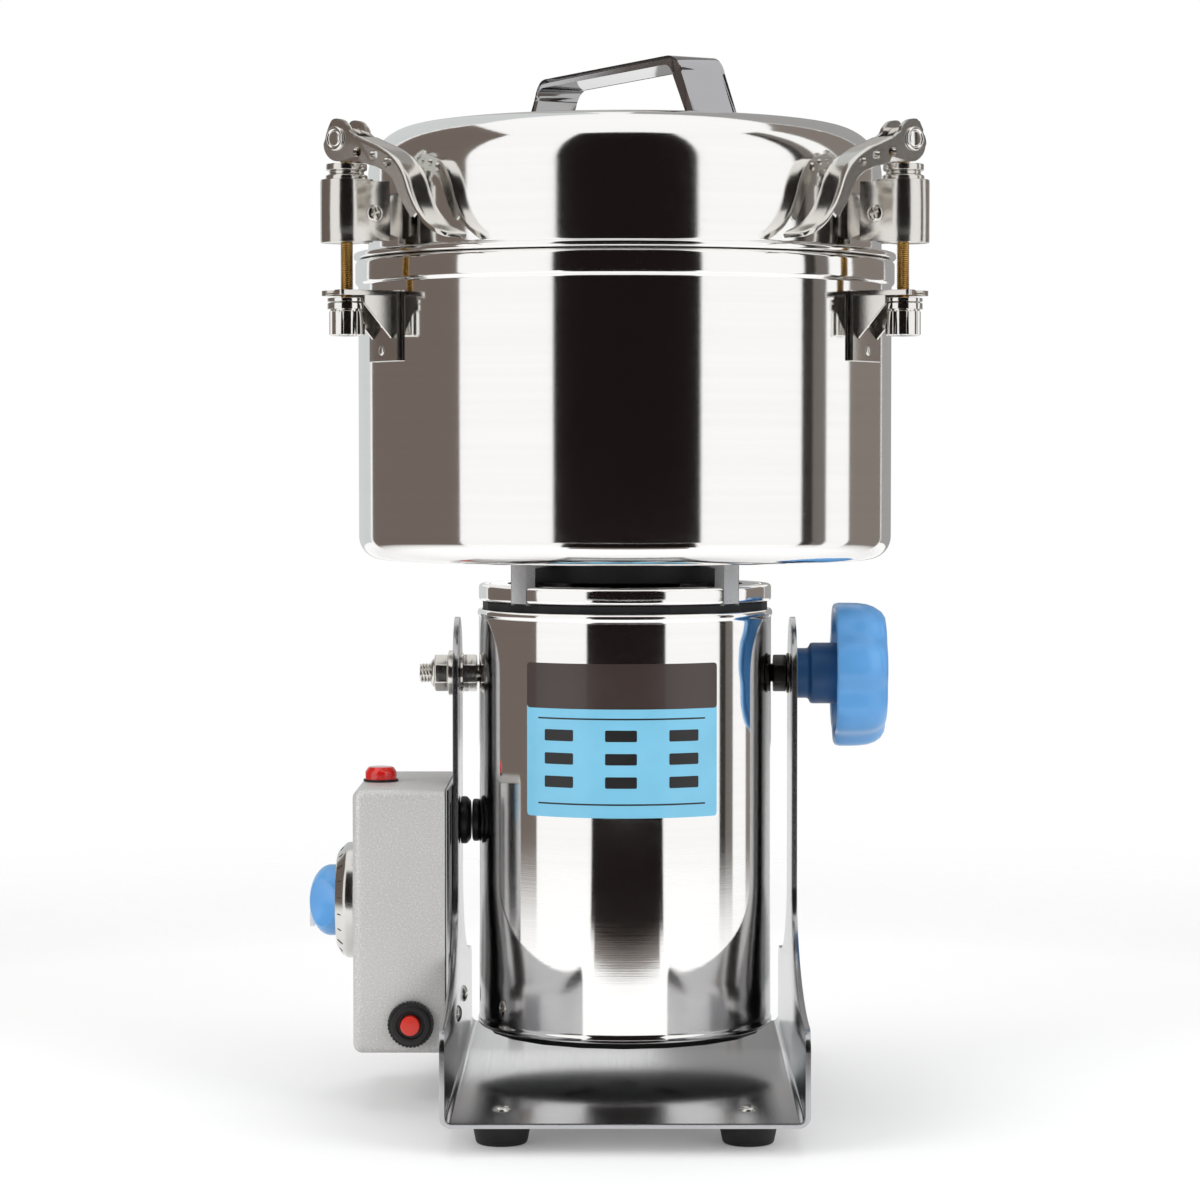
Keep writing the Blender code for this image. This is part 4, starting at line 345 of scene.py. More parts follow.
@dataclass(frozen=True)
class SpeckledPaint(Finish):
    """Silver paint with fine metal flake and a faint hammered skin."""

    tone: Colour = ink(206, 205, 203)
    flake: Colour = ink(240, 240, 240)
    shade: Colour = ink(178, 177, 176)
    roughness: float = 0.42

    def feeds(self, sheet: Sheet) -> dict[str, Feed]:
        """Flake and shade specks over the silver tone, and a soft orange-peel skin."""
        specks = sheet.noise(sheet.place(), 1500.0, 2.0, 0.7)
        peel = sheet.noise(sheet.place(), 520.0, 2.0)
        clouds = sheet.noise(sheet.place(), 24.0, 2.0)
        base = sheet.mixed(clouds.ramp(0.3, 0.7), tinted(self.tone, 0.96), tinted(self.tone, 1.03))
        shaded = sheet.mixed(specks.ramp(0.52, 0.30) * 0.55, base, self.shade)
        return {
            "Base Color": sheet.mixed(specks.ramp(0.56, 0.72) * 0.8, shaded, self.flake),
            "Roughness": (specks - 0.5) * 0.25 + self.roughness,
            "Metallic": 0.25,
            "Normal": sheet.bump(peel, 0.10, 0.2 * MM),
        }


@dataclass(frozen=True)
class Casting(Finish):
    """A sand-cast or ground metal surface."""

    tone: Colour = ink(160, 160, 160)
    roughness: float = 0.45
    metallic: float = 0.8
    grit: float = 0.35

    def feeds(self, sheet: Sheet) -> dict[str, Feed]:
        """A grainy skin with darker pores."""
        grit = sheet.noise(sheet.place(), 1400.0, 4.0, 0.65)
        clouds = sheet.noise(sheet.place(), 70.0, 3.0)
        pores = grit.ramp(0.42, 0.30)
        tone = sheet.mixed(clouds.ramp(0.3, 0.7), tinted(self.tone, 0.88), tinted(self.tone, 1.08))
        return {
            "Base Color": sheet.mixed(pores * 0.6, tone, tinted(self.tone, 0.35)),
            "Roughness": grit * 0.2 + self.roughness,
            "Metallic": self.metallic,
            "Normal": sheet.bump(grit, self.grit, 0.2 * MM),
        }


@dataclass(frozen=True)
class Laminations(Finish):
    """Stacked iron sheets with copper windings above and below the stack."""

    low: float
    high: float
    iron: Colour = ink(92, 90, 88)
    copper: Colour = ink(176, 98, 48)

    def feeds(self, sheet: Sheet) -> dict[str, Feed]:
        """Thin sheet lines inside the stack's heights, and copper turns outside them."""
        split = sheet.node("ShaderNodeSeparateXYZ", None, {"Vector": sheet.place()}, "Z")
        outside = split.above(self.high).larger(1.0 - split.above(self.low))
        wave_feeds = {"Vector": sheet.place(), "Scale": 300.0}
        sheets = sheet.node("ShaderNodeTexWave", {"bands_direction": "Z"}, wave_feeds, "Fac")
        turns = sheet.noise(sheet.stretched((700.0, 700.0, 90.0)), detail=3.0)
        iron = sheet.mixed(sheets, tinted(self.iron, 0.6), self.iron)
        copper = sheet.mixed(turns, tinted(self.copper, 0.55), self.copper)
        return {
            "Base Color": sheet.mixed(outside, iron, copper),
            "Roughness": turns * 0.2 + 0.3,
            "Metallic": 0.85,
            "Normal": sheet.bump(sheets * (1.0 - outside) + turns * outside, 0.4, 0.3 * MM),
        }


@dataclass(frozen=True)
class LampLens(Finish):
    """A clear red lens with a moulded pattern that glows a little in its depth."""

    tone: Colour = ink(214, 30, 24)

    def feeds(self, sheet: Sheet) -> dict[str, Feed]:
        """Darker and lighter depths under a clear coat."""
        depth = sheet.noise(sheet.place(), 420.0, 2.0)
        tone = sheet.mixed(depth.ramp(0.35, 0.65), tinted(self.tone, 0.75), self.tone)
        return {
            "Base Color": tone,
            "Roughness": depth * 0.1 + 0.12,
            "Coat Weight": 1.0,
            "Emission Color": tone,
            "Emission Strength": 0.10,
            "Normal": sheet.bump(depth, 0.1, 0.1 * MM),
        }


def arc(
    centre: Point2, radius: float, start: float, end: float, steps: int, squash: float = 1.0
) -> list[Point2]:
    """Points along an arc.

    Args:
        centre: Its centre.
        radius: Its radius.
        start: The first angle, in degrees.
        end: The last angle, in degrees.
        steps: How many steps it has.
        squash: How much its second half-axis is squashed.

    Returns:
        The points, with both ends.
    """
    turns = [math.radians(start + (end - start) * step / steps) for step in range(steps + 1)]
    return [(centre[0] + radius * math.cos(t), centre[1] + squash * radius * math.sin(t)) for t in turns]


def eased(points: Sequence[Point2], radius: float, steps: int = 4, closed: bool = False) -> list[Point2]:
    """Rounds the corners of a line of points.

    Args:
        points: The corners.
        radius: How far from a corner its round starts, at most.
        steps: The steps of each round.
        closed: Whether the last point joins the first.

    Returns:
        The rounded line.
    """
    made: list[Point2] = []
    count = len(points)
    for n, point in enumerate(points):
        if not closed and n in (0, count - 1):
            made.append(tuple(point))
            continue
        corner = Vector(point)
        before, after = Vector(points[n - 1]) - corner, Vector(points[(n + 1) % count]) - corner
        if before.angle(after, math.pi) > math.radians(172.0):
            made.append(tuple(point))
            continue
        reach = min(radius, before.length * 0.48, after.length * 0.48)
        start, end = corner + before.normalized() * reach, corner + after.normalized() * reach
        for step in range(steps + 1):
            t = step / steps
            made.append(tuple(start * (1 - t) ** 2 + corner * 2 * t * (1 - t) + end * t * t))
    return made


def hexagon(across: float) -> list[Point2]:
    """The corners of a hexagon by its width across flats."""
    return arc((0.0, 0.0), across / math.sqrt(3.0), 0.0, 300.0, 5)


class Form:
    """A mesh in the making, in metres, measured from the mill's axis on the floor."""

    SMOOTH_ANGLE = math.radians(32.0)
    MERGE = 0.002 * MM

    def __init__(self) -> None:
        """Starts empty."""
        self.mesh = bmesh.new()

    @classmethod
    def lathe(
        cls,
        profile: Sequence[Point2],
        steps: int = 64,
        ring: bool = False,
        start: float = 0.0,
        sweep: float = FULL_TURN,
    ) -> "Form":
        """Turns a profile round Z.

        Args:
            profile: Points of (radius, height).
            steps: Steps of a whole turn.
            ring: Whether the profile's last point joins its first.
            start: The angle where a part turn starts.
            sweep: How far it turns.

        Returns:
            The turned form.
        """
        form = cls()
        whole = sweep >= FULL_TURN - 1e-6
        count = max(3, round(steps * sweep / FULL_TURN))
        columns = []
        for step in range(count if whole else count + 1):
            turn = start + sweep * step / count
            along, across = math.cos(turn), math.sin(turn)
            columns.append([form.mesh.verts.new((r * along, r * across, z)) for r, z in profile])
        pairs = list(zip(columns, columns[1:])) + ([(columns[-1], columns[0])] if whole else [])
        span = range(len(profile) if ring else len(profile) - 1)
        for left, right in pairs:
            for n in span:
                after = (n + 1) % len(profile)
                form.mesh.faces.new((left[n], right[n], right[after], left[after]))
        if not whole and ring:
            form.mesh.faces.new(columns[0])
            form.mesh.faces.new(columns[-1][::-1])
        return form.cleaned()

    @classmethod
    def slab(cls, outline: Sequence[Point2], low: float, high: float) -> "Form":
        """Raises an outline of (x, y) points from one height to another.

        Args:
            outline: Its points, once round.
            low: Where the slab starts.
            high: Where it ends.

        Returns:
            The slab.
        """
        form = cls()
        face = form.mesh.faces.new([form.mesh.verts.new((x, y, low)) for x, y in outline])
        raised = bmesh.ops.extrude_face_region(form.mesh, geom=[face])
        tops = [item for item in raised["geom"] if isinstance(item, bmesh.types.BMVert)]
        bmesh.ops.translate(form.mesh, verts=tops, vec=(0.0, 0.0, high - low))
        return form.cleaned()

    @classmethod
    def block(cls, low: Point3, high: Point3) -> "Form":
        """A box between two corners."""
        outline = [(low[0], low[1]), (high[0], low[1]), (high[0], high[1]), (low[0], high[1])]
        return cls.slab(outline, low[2], high[2])

    @classmethod
    def drum(cls, radius: float, low: float, high: float, edge: float = 0.0, steps: int = 40) -> "Form":
        """A cylinder with eased edges.

        Args:
            radius: Its radius.
            low: Where it starts.
            high: Where it ends.
            edge: How wide its edges are eased.
            steps: Its sides.

        Returns:
            The cylinder, on the vertical through the origin.
        """
        corners = [(0.0, low), (radius, low), (radius, high), (0.0, high)]
        return cls.lathe(eased(corners, edge, 3) if edge else corners, steps)

    @classmethod
    def grid(cls, rows: Sequence[Sequence[Point3]], loop: bool = False) -> "Form":
        """A skin over rows of points.

        Args:
            rows: Rows with as many points each.
            loop: Whether each row's last point joins its first.

        Returns:
            The skin, as one sheet or tube.
        """
        form = cls()
        made = [[form.mesh.verts.new(point) for point in row] for row in rows]
        for row, following in zip(made, made[1:]):
            for n in range(len(row) if loop else len(row) - 1):
                after = (n + 1) % len(row)
                form.mesh.faces.new((row[n], row[after], following[after], following[n]))
        if loop:
            form.mesh.faces.new(made[0][::-1])
            form.mesh.faces.new(made[-1])
        return form.cleaned()

    def cleaned(self) -> "Form":
        """Merges points that lie on each other and turns every face outward."""
        bmesh.ops.remove_doubles(self.mesh, verts=self.mesh.verts, dist=self.MERGE)
        bmesh.ops.dissolve_degenerate(self.mesh, edges=self.mesh.edges, dist=self.MERGE)
        bmesh.ops.recalc_face_normals(self.mesh, faces=self.mesh.faces)
        return self

    def turned(self, degrees: float, axis: str = "Z") -> "Form":
        """Turns the form about an axis through its origin."""
        self.mesh.transform(Matrix.Rotation(math.radians(degrees), 4, axis))
        return self

    def moved(self, x: float = 0.0, y: float = 0.0, z: float = 0.0) -> "Form":
        """Moves the form.

        Args:
            x: How far to the right.
            y: How far to the back.
            z: How far up.

        Returns:
            The form itself.
        """
        self.mesh.transform(Matrix.Translation((x, y, z)))
        return self

    def bevelled(
        self, width: float, segments: int = 2, keep: Optional[Callable[[bmesh.types.BMEdge], bool]] = None
    ) -> "Form":
        """Rounds the form's sharp edges.

        Args:
            width: How far from an edge its round starts.
            segments: The steps of each round.
            keep: A test that an edge has to pass, if not all sharp edges are rounded.

        Returns:
            The form itself.
        """
        edges = [edge for edge in self.mesh.edges if edge.calc_face_angle(0.0) > self.SMOOTH_ANGLE]
        edges = [edge for edge in edges if keep is None or keep(edge)]
        bmesh.ops.bevel(
            self.mesh,
            geom=edges,
            offset=width,
            segments=segments,
            profile=0.5,
            affect="EDGES",
            clamp_overlap=True,
        )
        return self.cleaned()

    def added(self, *others: "Form") -> "Form":
        """Takes other forms in as they are."""
        for other in others:
            held = bpy.data.meshes.new("held")
            other.mesh.to_mesh(held)
            self.mesh.from_mesh(held)
            bpy.data.meshes.remove(held)
            other.mesh.free()
        return self

    def around(self, count: int, first: float = 0.0) -> "Form":
        """Repeats the form evenly round Z."""
        geometry = self.mesh.verts[:] + self.mesh.edges[:] + self.mesh.faces[:]
        for copy in range(1, count):
            made = bmesh.ops.duplicate(self.mesh, geom=geometry)
            points = [item for item in made["geom"] if isinstance(item, bmesh.types.BMVert)]
            step = Matrix.Rotation(FULL_TURN * copy / count, 3, "Z")
            bmesh.ops.rotate(self.mesh, verts=points, cent=(0.0, 0.0, 0.0), matrix=step)
        return self.turned(first)

    def cut(self, tool: "Form") -> "Form":
        """Cuts a tool from the form."""
        objects = []
        for form in (self, tool):
            bmesh.ops.recalc_face_normals(form.mesh, faces=form.mesh.faces)
            objects.append(form.linked("held"))
        body, helper = objects
        modifier = body.modifiers.new("cut", "BOOLEAN")
        modifier.object, modifier.operation, modifier.solver = helper, "DIFFERENCE", "EXACT"
        graph = bpy.context.evaluated_depsgraph_get()
        graph.update()
        result = body.evaluated_get(graph).to_mesh()
        self.mesh.clear()
        self.mesh.from_mesh(result)
        body.evaluated_get(graph).to_mesh_clear()
        for held in objects:
            data = held.data
            bpy.data.objects.remove(held, do_unlink=True)
            bpy.data.meshes.remove(data)
        tool.mesh.free()
        return self.cleaned()

    def linked(self, name: str) -> bpy.types.Object:
        """A new object in the scene with the form's present shape."""
        data = bpy.data.meshes.new(name)
        self.mesh.to_mesh(data)
        made = bpy.data.objects.new(name, data)
        bpy.context.scene.collection.objects.link(made)
        return made

    def built(self, name: str, finish: Finish) -> bpy.types.Object:
        """Makes the object that stands on the mill's axis, smooth between its sharp edges."""
        made = self.linked(name)
        self.mesh.free()
        made.data.shade_smooth()
        made.data.set_sharp_from_angle(angle=self.SMOOTH_ANGLE)
        made.data.materials.append(finish.material())
        made.location = AXIS
        return made


@dataclass
class Assembly:
    """A group of pieces that ride on one body of the mill."""

    body: str

    def fit(
        self, name: str, form: Form, finish: Finish, stands_for: str = "", slot: str = ""
    ) -> bpy.types.Object:
        """Places one piece.

        Args:
            name: The piece's name.
            form: Its form.
            finish: What it is made of.
            stands_for: The node of the frame that it replaces, if any.
            slot: The record's material slot; it is not used.

        Returns:
            The placed object.
        """
        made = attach(form.built(name, finish), self.body)
        if stands_for:
            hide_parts(stands_for)
            slot = slot or SLOTS[stands_for]
        log.info("%s rides on %s, %d faces", name, self.body, len(made.data.polygons))
        return made

    def build(self) -> None:
        """Makes the pieces."""
        raise NotImplementedError


SLOTS = {row["node"]: row["material_slot"] for row in frame["record"]["subparts"]}

POLISHED = Steel("polished bowl steel", roughness=0.075, line_strength=0.035, line_haze=0.07, haze=0.03)
LID_STEEL = Steel("polished lid steel", roughness=0.085, line_strength=0.05, line_haze=0.09, haze=0.04)
SHELL_STEEL = Steel(
    "polished shell steel", roughness=0.07, line_strength=0.03, line_haze=0.06, haze=0.03
)
SHEET_STEEL = Steel(
    "stand sheet",
    tone=ink(190, 190, 192),
    roughness=0.20,
    grain=Grain.ALONG_Y,
    line_strength=0.03,
    line_haze=0.10,
    haze=0.05,
)
PRESSED = Steel(
    "pressed steel",
    tone=ink(226, 223, 218),
    roughness=0.17,
    grain=Grain.EVEN,
    line_strength=0.06,
    haze=0.10,
)
TURNED = Steel(
    "turned steel", tone=ink(222, 220, 216), roughness=0.18, grain=Grain.ALONG_Y, line_haze=0.14
)
BRIGHT = Steel(
    "bright plating",
    tone=ink(240, 238, 234),
    roughness=0.10,
    grain=Grain.ALONG_Z,
    line_strength=0.04,
    haze=0.04,
)
# The handle's plating is toned well below the other steel. This is painted shade, standing in for the dark
# surroundings that the strap mirrors.
SHADED_HANDLE_CHROME = Steel(
    "handle plating with painted shade",
    tone=ink(176, 176, 178),
    roughness=0.06,
    grain=Grain.EVEN,
    line_strength=0.015,
    line_haze=0.03,
)
BLADE_STEEL = Steel(
    "ground blade steel",
    tone=ink(206, 204, 200),
    roughness=0.24,
    grain=Grain.ALONG_X,
    line_strength=0.12,
    line_haze=0.2,
)
ZINC = Steel(
    "yellow plating",
    tone=ink(196, 158, 92),
    roughness=0.26,
    grain=Grain.EVEN,
    line_strength=0.08,
    haze=0.12,
    tone_spread=0.30,
)
DARK_STEEL = Steel(
    "blackened steel", tone=ink(74, 72, 70), roughness=0.30, grain=Grain.EVEN, haze=0.12, tone_spread=0.3
)
SCREW_STEEL = Steel(
    "screw steel", tone=ink(222, 219, 213), roughness=0.22, grain=Grain.EVEN, line_strength=0.04
)
BLACK_PLASTIC = Plastic("black plastic", tone=ink(24, 24, 25), roughness=0.42)
RUBBER = Plastic(
    "black rubber", tone=ink(26, 25, 25), roughness=0.62, skin_strength=0.3, skin_scale=1500.0
)
SILICONE = Plastic("pale silicone", tone=ink(224, 219, 208), roughness=0.45)
KNOB_BLUE = Plastic(
    "blue knob plastic", tone=ink(96, 164, 226), roughness=0.30, coat=0.25, tint_spread=0.08
)
KNOB_BACK = Plastic("dark blue plastic", tone=ink(30, 88, 140), roughness=0.40, tint_spread=0.10)
BUTTON_RED = Plastic(
    "red button plastic", tone=ink(226, 50, 34), roughness=0.30, coat=0.3, tint_spread=0.1
)
RED_LENS = LampLens("red lens")
SILVER_PAINT = SpeckledPaint("silver speckled paint")
GREY_CASTING = Casting(
    "light grey casting", tone=ink(196, 197, 198), roughness=0.36, metallic=0.7, grit=0.18
)
BLACK_CASTING = Casting("black casting", tone=ink(38, 38, 40), roughness=0.50, metallic=0.35)
CORE = Laminations("wound iron core", low=74.0 * MM, high=138.0 * MM)
LABEL_BLUE = Plastic(
    "pale blue film",
    tone=ink(126, 200, 232),
    roughness=0.34,
    coat=0.3,
    tint_spread=0.05,
    skin_strength=0.03,
)
LABEL_BROWN = Plastic(
    "dark brown film",
    tone=ink(62, 50, 46),
    roughness=0.34,
    coat=0.3,
    tint_spread=0.08,
    skin_strength=0.03,
)
LABEL_INK = Plastic(
    "black print", tone=ink(30, 29, 31), roughness=0.40, tint_spread=0.08, skin_strength=0.03
)
DIAL_INK = Plastic(
    "dial print", tone=ink(34, 36, 40), roughness=0.5, tint_spread=0.05, skin_strength=0.03
)
POINTER_WHITE = Plastic(
    "white pointer paint", tone=ink(236, 236, 232), roughness=0.45, tint_spread=0.05, skin_strength=0.05
)


def upright(outline: Sequence[Point2], half: float) -> Form:
    """A plate that stands along X, from its outline of (x, z) points and half its thickness."""
    return Form.slab([(x, -z) for x, z in outline], -half, half).turned(-90.0, "X")


def pan_head(radius: float, height: float) -> Form:
    """A pan head screw that faces up, its cross recess sunk in its crown.

    Args:
        radius: The head's radius.
        height: How high its crown stands.

    Returns:
        The head, with its seat at the origin.
    """
    crown = arc((0.0, 0.0), radius, 0.0, 90.0, 7, height / radius)
    head = Form.lathe([(0.0, -height * 0.4), (radius, -height * 0.4)] + crown, 28)
    reach, half = radius * 0.62, radius * 0.13
    for degrees in (20.0, 110.0):
        head.cut(Form.block((-reach, -half, height * 0.45), (reach, half, height * 2)).turned(degrees))
    return head


@dataclass
class Stand(Assembly):
    """The bent sheet with its flared arms, the four feet and their screws."""

    body: str = "stand"
    sheet: float = 2.0 * MM
    half_width: float = 68.0 * MM
    front: float = 132.0 * MM
    back: float = 104.0 * MM
    bottom: float = 10.3 * MM
    bend: float = 4.5 * MM
    arm_half_width: float = 22.5 * MM
    flare_bottom: float = 46.0 * MM
    flare_top: float = 86.0 * MM
    corner: float = 8.0 * MM
    edge: float = 0.35 * MM
    foot_height: float = 10.0 * MM
    foot_top: float = 11.5 * MM
    foot_bottom: float = 9.5 * MM
    foot_spread: float = 46.0 * MM
    foot_inset: float = 27.0 * MM

    def edges_by_height(self) -> list[Point3]:
        """The arm's front and back edge by height, from the bend up to the round head."""
        rows = [
            (height, -self.front, self.back)
            for height in (self.bottom + self.bend, self.flare_bottom - self.corner)
        ]
        for step in range(1, 7):
            turn = math.radians(15.0 * step)
            drop, lean = self.corner * math.sin(turn), self.corner * (1.0 - math.cos(turn))
            rows.append((self.flare_bottom - self.corner + drop, lean - self.front, self.back - lean))
        rise = self.flare_top - self.flare_bottom
        front_sweep = self.front - self.corner - self.arm_half_width
        back_sweep = self.back - self.corner - self.arm_half_width
        for step in range(1, 25):
            turn = math.radians(90.0 * step / 24)
            height = self.flare_top - rise * math.cos(turn)
            rows.append((
                height,
                -self.front + self.corner + front_sweep * math.sin(turn),
                self.back - self.corner - back_sweep * math.sin(turn),
            ))
        for step in range(0, 25):
            turn = math.radians(90.0 * step / 24)
            half = self.arm_half_width * math.cos(turn)
            rows.append((PIVOT_HEIGHT + self.arm_half_width * math.sin(turn), -half, half))
        return rows

    def section(self) -> list[tuple[Point2, Point2, float, float]]:
        """The sheet's section, from the left arm's top, under the plate, to the right arm's top.

        Returns:
            Rows of (outer point, inner point, front, back).
        """
        arm = self.edges_by_height()
        outer, inner = self.half_width, self.half_width - self.sheet
        rows = [((-outer, z), (-inner, z), front, back) for z, front, back in reversed(arm)]
        inside = self.bend - self.sheet
        centre = (self.bend - outer, self.bottom + self.bend)
        for step in range(1, 9):
            turn = math.radians(180.0 + 90.0 * step / 8)
            lean = Vector((math.cos(turn), math.sin(turn)))
            rows.append((
                (centre[0] + self.bend * lean.x, centre[1] + self.bend * lean.y),
                (centre[0] + inside * lean.x, centre[1] + inside * lean.y),
                -self.front,
                self.back,
            ))
        mirrored = [((-o[0], o[1]), (-i[0], i[1]), front, back) for o, i, front, back in reversed(rows)]
        return rows + mirrored

    def build(self) -> None:
        """Makes the sheet, the feet and the screws."""
        rows = []
        for outer, inner, front, back in self.section():
            rows.append([
                (outer[0], front, outer[1]),
                (outer[0], back, outer[1]),
                (inner[0], back, inner[1]),
                (inner[0], front, inner[1]),
            ])
        sheet = Form.grid(rows, loop=True).bevelled(self.edge, 2)
        self.fit("stand_sheet", sheet, SHEET_STEEL, "stand_bracket")
        high = self.foot_height
        corners = [(0.0, 0.0), (self.foot_bottom, 0.0), (self.foot_top, high), (0.0, high)]
        for row, depth in (("front", self.foot_inset - self.front), ("back", self.back - self.foot_inset)):
            for side, across in (("left", -self.foot_spread), ("right", self.foot_spread)):
                foot = Form.lathe(eased(corners, 1.4 * MM, 4), 48).moved(across, depth)
                self.fit(f"rubber_foot_{row}_{side}", foot, RUBBER, f"foot_{row}_{side}")
                screw = pan_head(3.6 * MM, 1.8 * MM).moved(across, depth, self.bottom + self.sheet)
                self.fit(f"foot_screw_{row}_{side}", screw, SCREW_STEEL, slot="pressed_steel")


@dataclass
class ControlBox(Assembly):
    """The painted box on the left arm with its timer, lamp, breaker and glands."""

    body: str = "stand"
    outer: float = 106.3 * MM
    inner: float = 70.1 * MM
    cover_outer: float = 69.8 * MM
    cover_inner: float = 68.3 * MM
    bottom: float = 22.5 * MM
    top: float = 126.0 * MM
    half_depth: float = 42.0 * MM
    edge: float = 3.5 * MM
    timer_height: float = 77.8 * MM
    bezel_radius: float = 23.2 * MM
    bezel_rim: float = 19.0 * MM
    bezel_depth: float = 8.6 * MM
    knob_radius: float = 14.2 * MM
    knob_depth: float = 11.0 * MM
    lamp_place: Point2 = (-97.5 * MM, -5.0 * MM)
    breaker_place: Point2 = (-83.5 * MM, 34.5 * MM)
    cord_height: float = 38.0 * MM
    lead_height: float = 110.0 * MM
    lead_reach: float = 65.7 * MM
    screw_reach: float = 66.0 * MM
    screw_depth: float = 26.0 * MM
    screw_height: float = 36.0 * MM
    grip_half: float = 2.75 * MM
    scoop_radius: float = 16.0 * MM
    dial_marks: int = 16
    dial_pitch: float = 18.0
    dial_start: float = 135.0
    gap: float = 0.3 * MM

    def outward(self, form: Form, reach: float, height: float) -> Form:
        """Lays a form that faces up so that it faces left.

        Args:
            form: The form.
            reach: How far it stands left of the axis.
            height: Its height.

        Returns:
            The form itself.
        """
        return form.turned(-90.0, "Y").moved(-reach, 0.0, height)

    def build(self) -> None:
        """Makes the box and what sits on it."""
        self.build_case()
        self.build_timer()
        self.build_lamp()
        self.build_breaker()
        self.build_glands()

    def build_case(self) -> None:
        """The casting, its cover, and the two screws inside the arm that hold them."""
        half, low, high = self.half_depth, self.bottom, self.top
        case = Form.block((-self.outer, -half, low), (-self.inner, half, high))
        case.bevelled(self.edge, 5, lambda edge: min(v.co.x for v in edge.verts) < -self.outer + Form.MERGE)
        case.bevelled(0.5 * MM, 2)
        self.fit("box_case", case, SILVER_PAINT, "control_box")
        cover = Form.block((-self.cover_outer, -half, low), (-self.cover_inner, half, high))
        self.fit("box_cover", cover.bevelled(0.4 * MM, 2), SHEET_STEEL, "control_box_cover")
        for name, depth in (("front", -self.screw_depth), ("back", self.screw_depth)):
            screw = pan_head(3.4 * MM, 1.7 * MM).turned(90.0, "Y")
            screw.moved(-self.screw_reach, depth, self.screw_height)
            self.fit(f"box_screw_{name}", screw, SCREW_STEEL, slot="pressed_steel")

    def build_timer(self) -> None:
        """The bezel with its dial marks, and the knob in front of it."""
        depth, rim, radius = self.bezel_depth, self.bezel_rim, self.bezel_radius
        profile = [(0.0, 0.0), (radius, 0.0), (radius, depth * 0.55), (rim, depth)]
        profile += [(self.knob_radius, depth), (0.0, depth)]
        bezel = Form.lathe(eased(profile, 1.1 * MM, 5), 96)
        shaft_radius, shaft_top = 3.0 * MM, depth + 7.0 * MM
        bezel.added(Form.lathe([(shaft_radius, depth), (shaft_radius, shaft_top), (0.0, shaft_top)], 24))
        seat = self.outer + self.gap
        self.fit("timer_bezel", self.outward(bezel, seat, self.timer_height), TURNED, "timer_switch")
        marks = Form()
        slope = math.degrees(math.atan2(depth * 0.45, radius - rim))
        middle = ((radius + rim) / 2, depth * 0.775)
        for mark in range(self.dial_marks):
            half, wide = (1.5 * MM, 0.28 * MM) if mark % 5 == 0 else (1.0 * MM, 0.18 * MM)
            bar = Form.block((-half, -wide, -0.05 * MM), (half, wide, 0.14 * MM))
            bar.turned(slope, "Y").moved(middle[0], 0.0, middle[1])
            marks.added(bar.turned(self.dial_pitch * mark + self.dial_start))
        self.fit("dial_marks", self.outward(marks, seat, self.timer_height), DIAL_INK, slot="black_plastic")
        self.build_knob()

    def build_knob(self) -> None:
        """The knob's dome, with two scoops that leave a grip across it, and a white pointer."""
        radius, depth = self.knob_radius, self.knob_depth
        skirt = depth * 0.22
        dome = [(0.0, 0.0), (radius, 0.0)]
        dome += arc((0.0, skirt), radius, 0.0, 90.0, 14, (depth - skirt) / radius)
        knob = Form.lathe(dome, 72)
        for side in (-1, 1):
            scoop = Form.lathe(arc((0.0, 0.0), self.scoop_radius, -90.0, 90.0, 18), 56)
            knob.cut(scoop.moved(0.0, side * (self.scoop_radius + self.grip_half), depth + 3.0 * MM))
        seat, height = self.outer + self.gap + self.bezel_depth + self.gap, self.timer_height
        self.fit_on("timer_knob", "timer_dome", self.outward(knob, seat, height), KNOB_BLUE, "timer_knob")
        low = (-radius * 0.75, -0.45 * MM, depth - 1.9 * MM)
        high = (-radius * 0.1, 0.45 * MM, depth + 0.05 * MM)
        pointer = Form.block(low, high).bevelled(0.1 * MM, 1)
        self.fit_on("timer_knob", "timer_pointer", self.outward(pointer, seat, height), POINTER_WHITE)

    def fit_on(self, body: str, name: str, form: Form, finish: Finish, stands_for: str = "") -> None:
        """Places a piece that rides on another body than the box.

        Args:
            body: The body that it rides on.
            name: The piece's name.
            form: Its form.
            finish: What it is made of.
            stands_for: The node that it replaces, if any.
        """
        Assembly(body).fit(name, form, finish, stands_for, "" if stands_for else "blue_plastic")

    def build_lamp(self) -> None:
        """The lamp's lens over a thin collar."""
        profile = [(0.0, 0.0), (6.3 * MM, 0.0), (6.3 * MM, 3.6 * MM), (4.9 * MM, 5.6 * MM), (0.0, 5.6 * MM)]
        lens = Form.lathe(eased(profile, 0.6 * MM, 4), 48)
        x, y = self.lamp_place
        self.fit("lamp_lens", lens.moved(x, y, self.top + self.gap), RED_LENS, "indicator_lamp")
        ring = [(5.9 * MM, 0.0), (7.0 * MM, 0.0), (7.0 * MM, 1.0 * MM), (5.9 * MM, 1.0 * MM)]
        collar = Form.lathe(eased(ring, 0.3 * MM, 2, True), 48, True)
        self.fit("lamp_collar", collar.moved(x, y, self.top), BLACK_PLASTIC, slot="black_plastic")

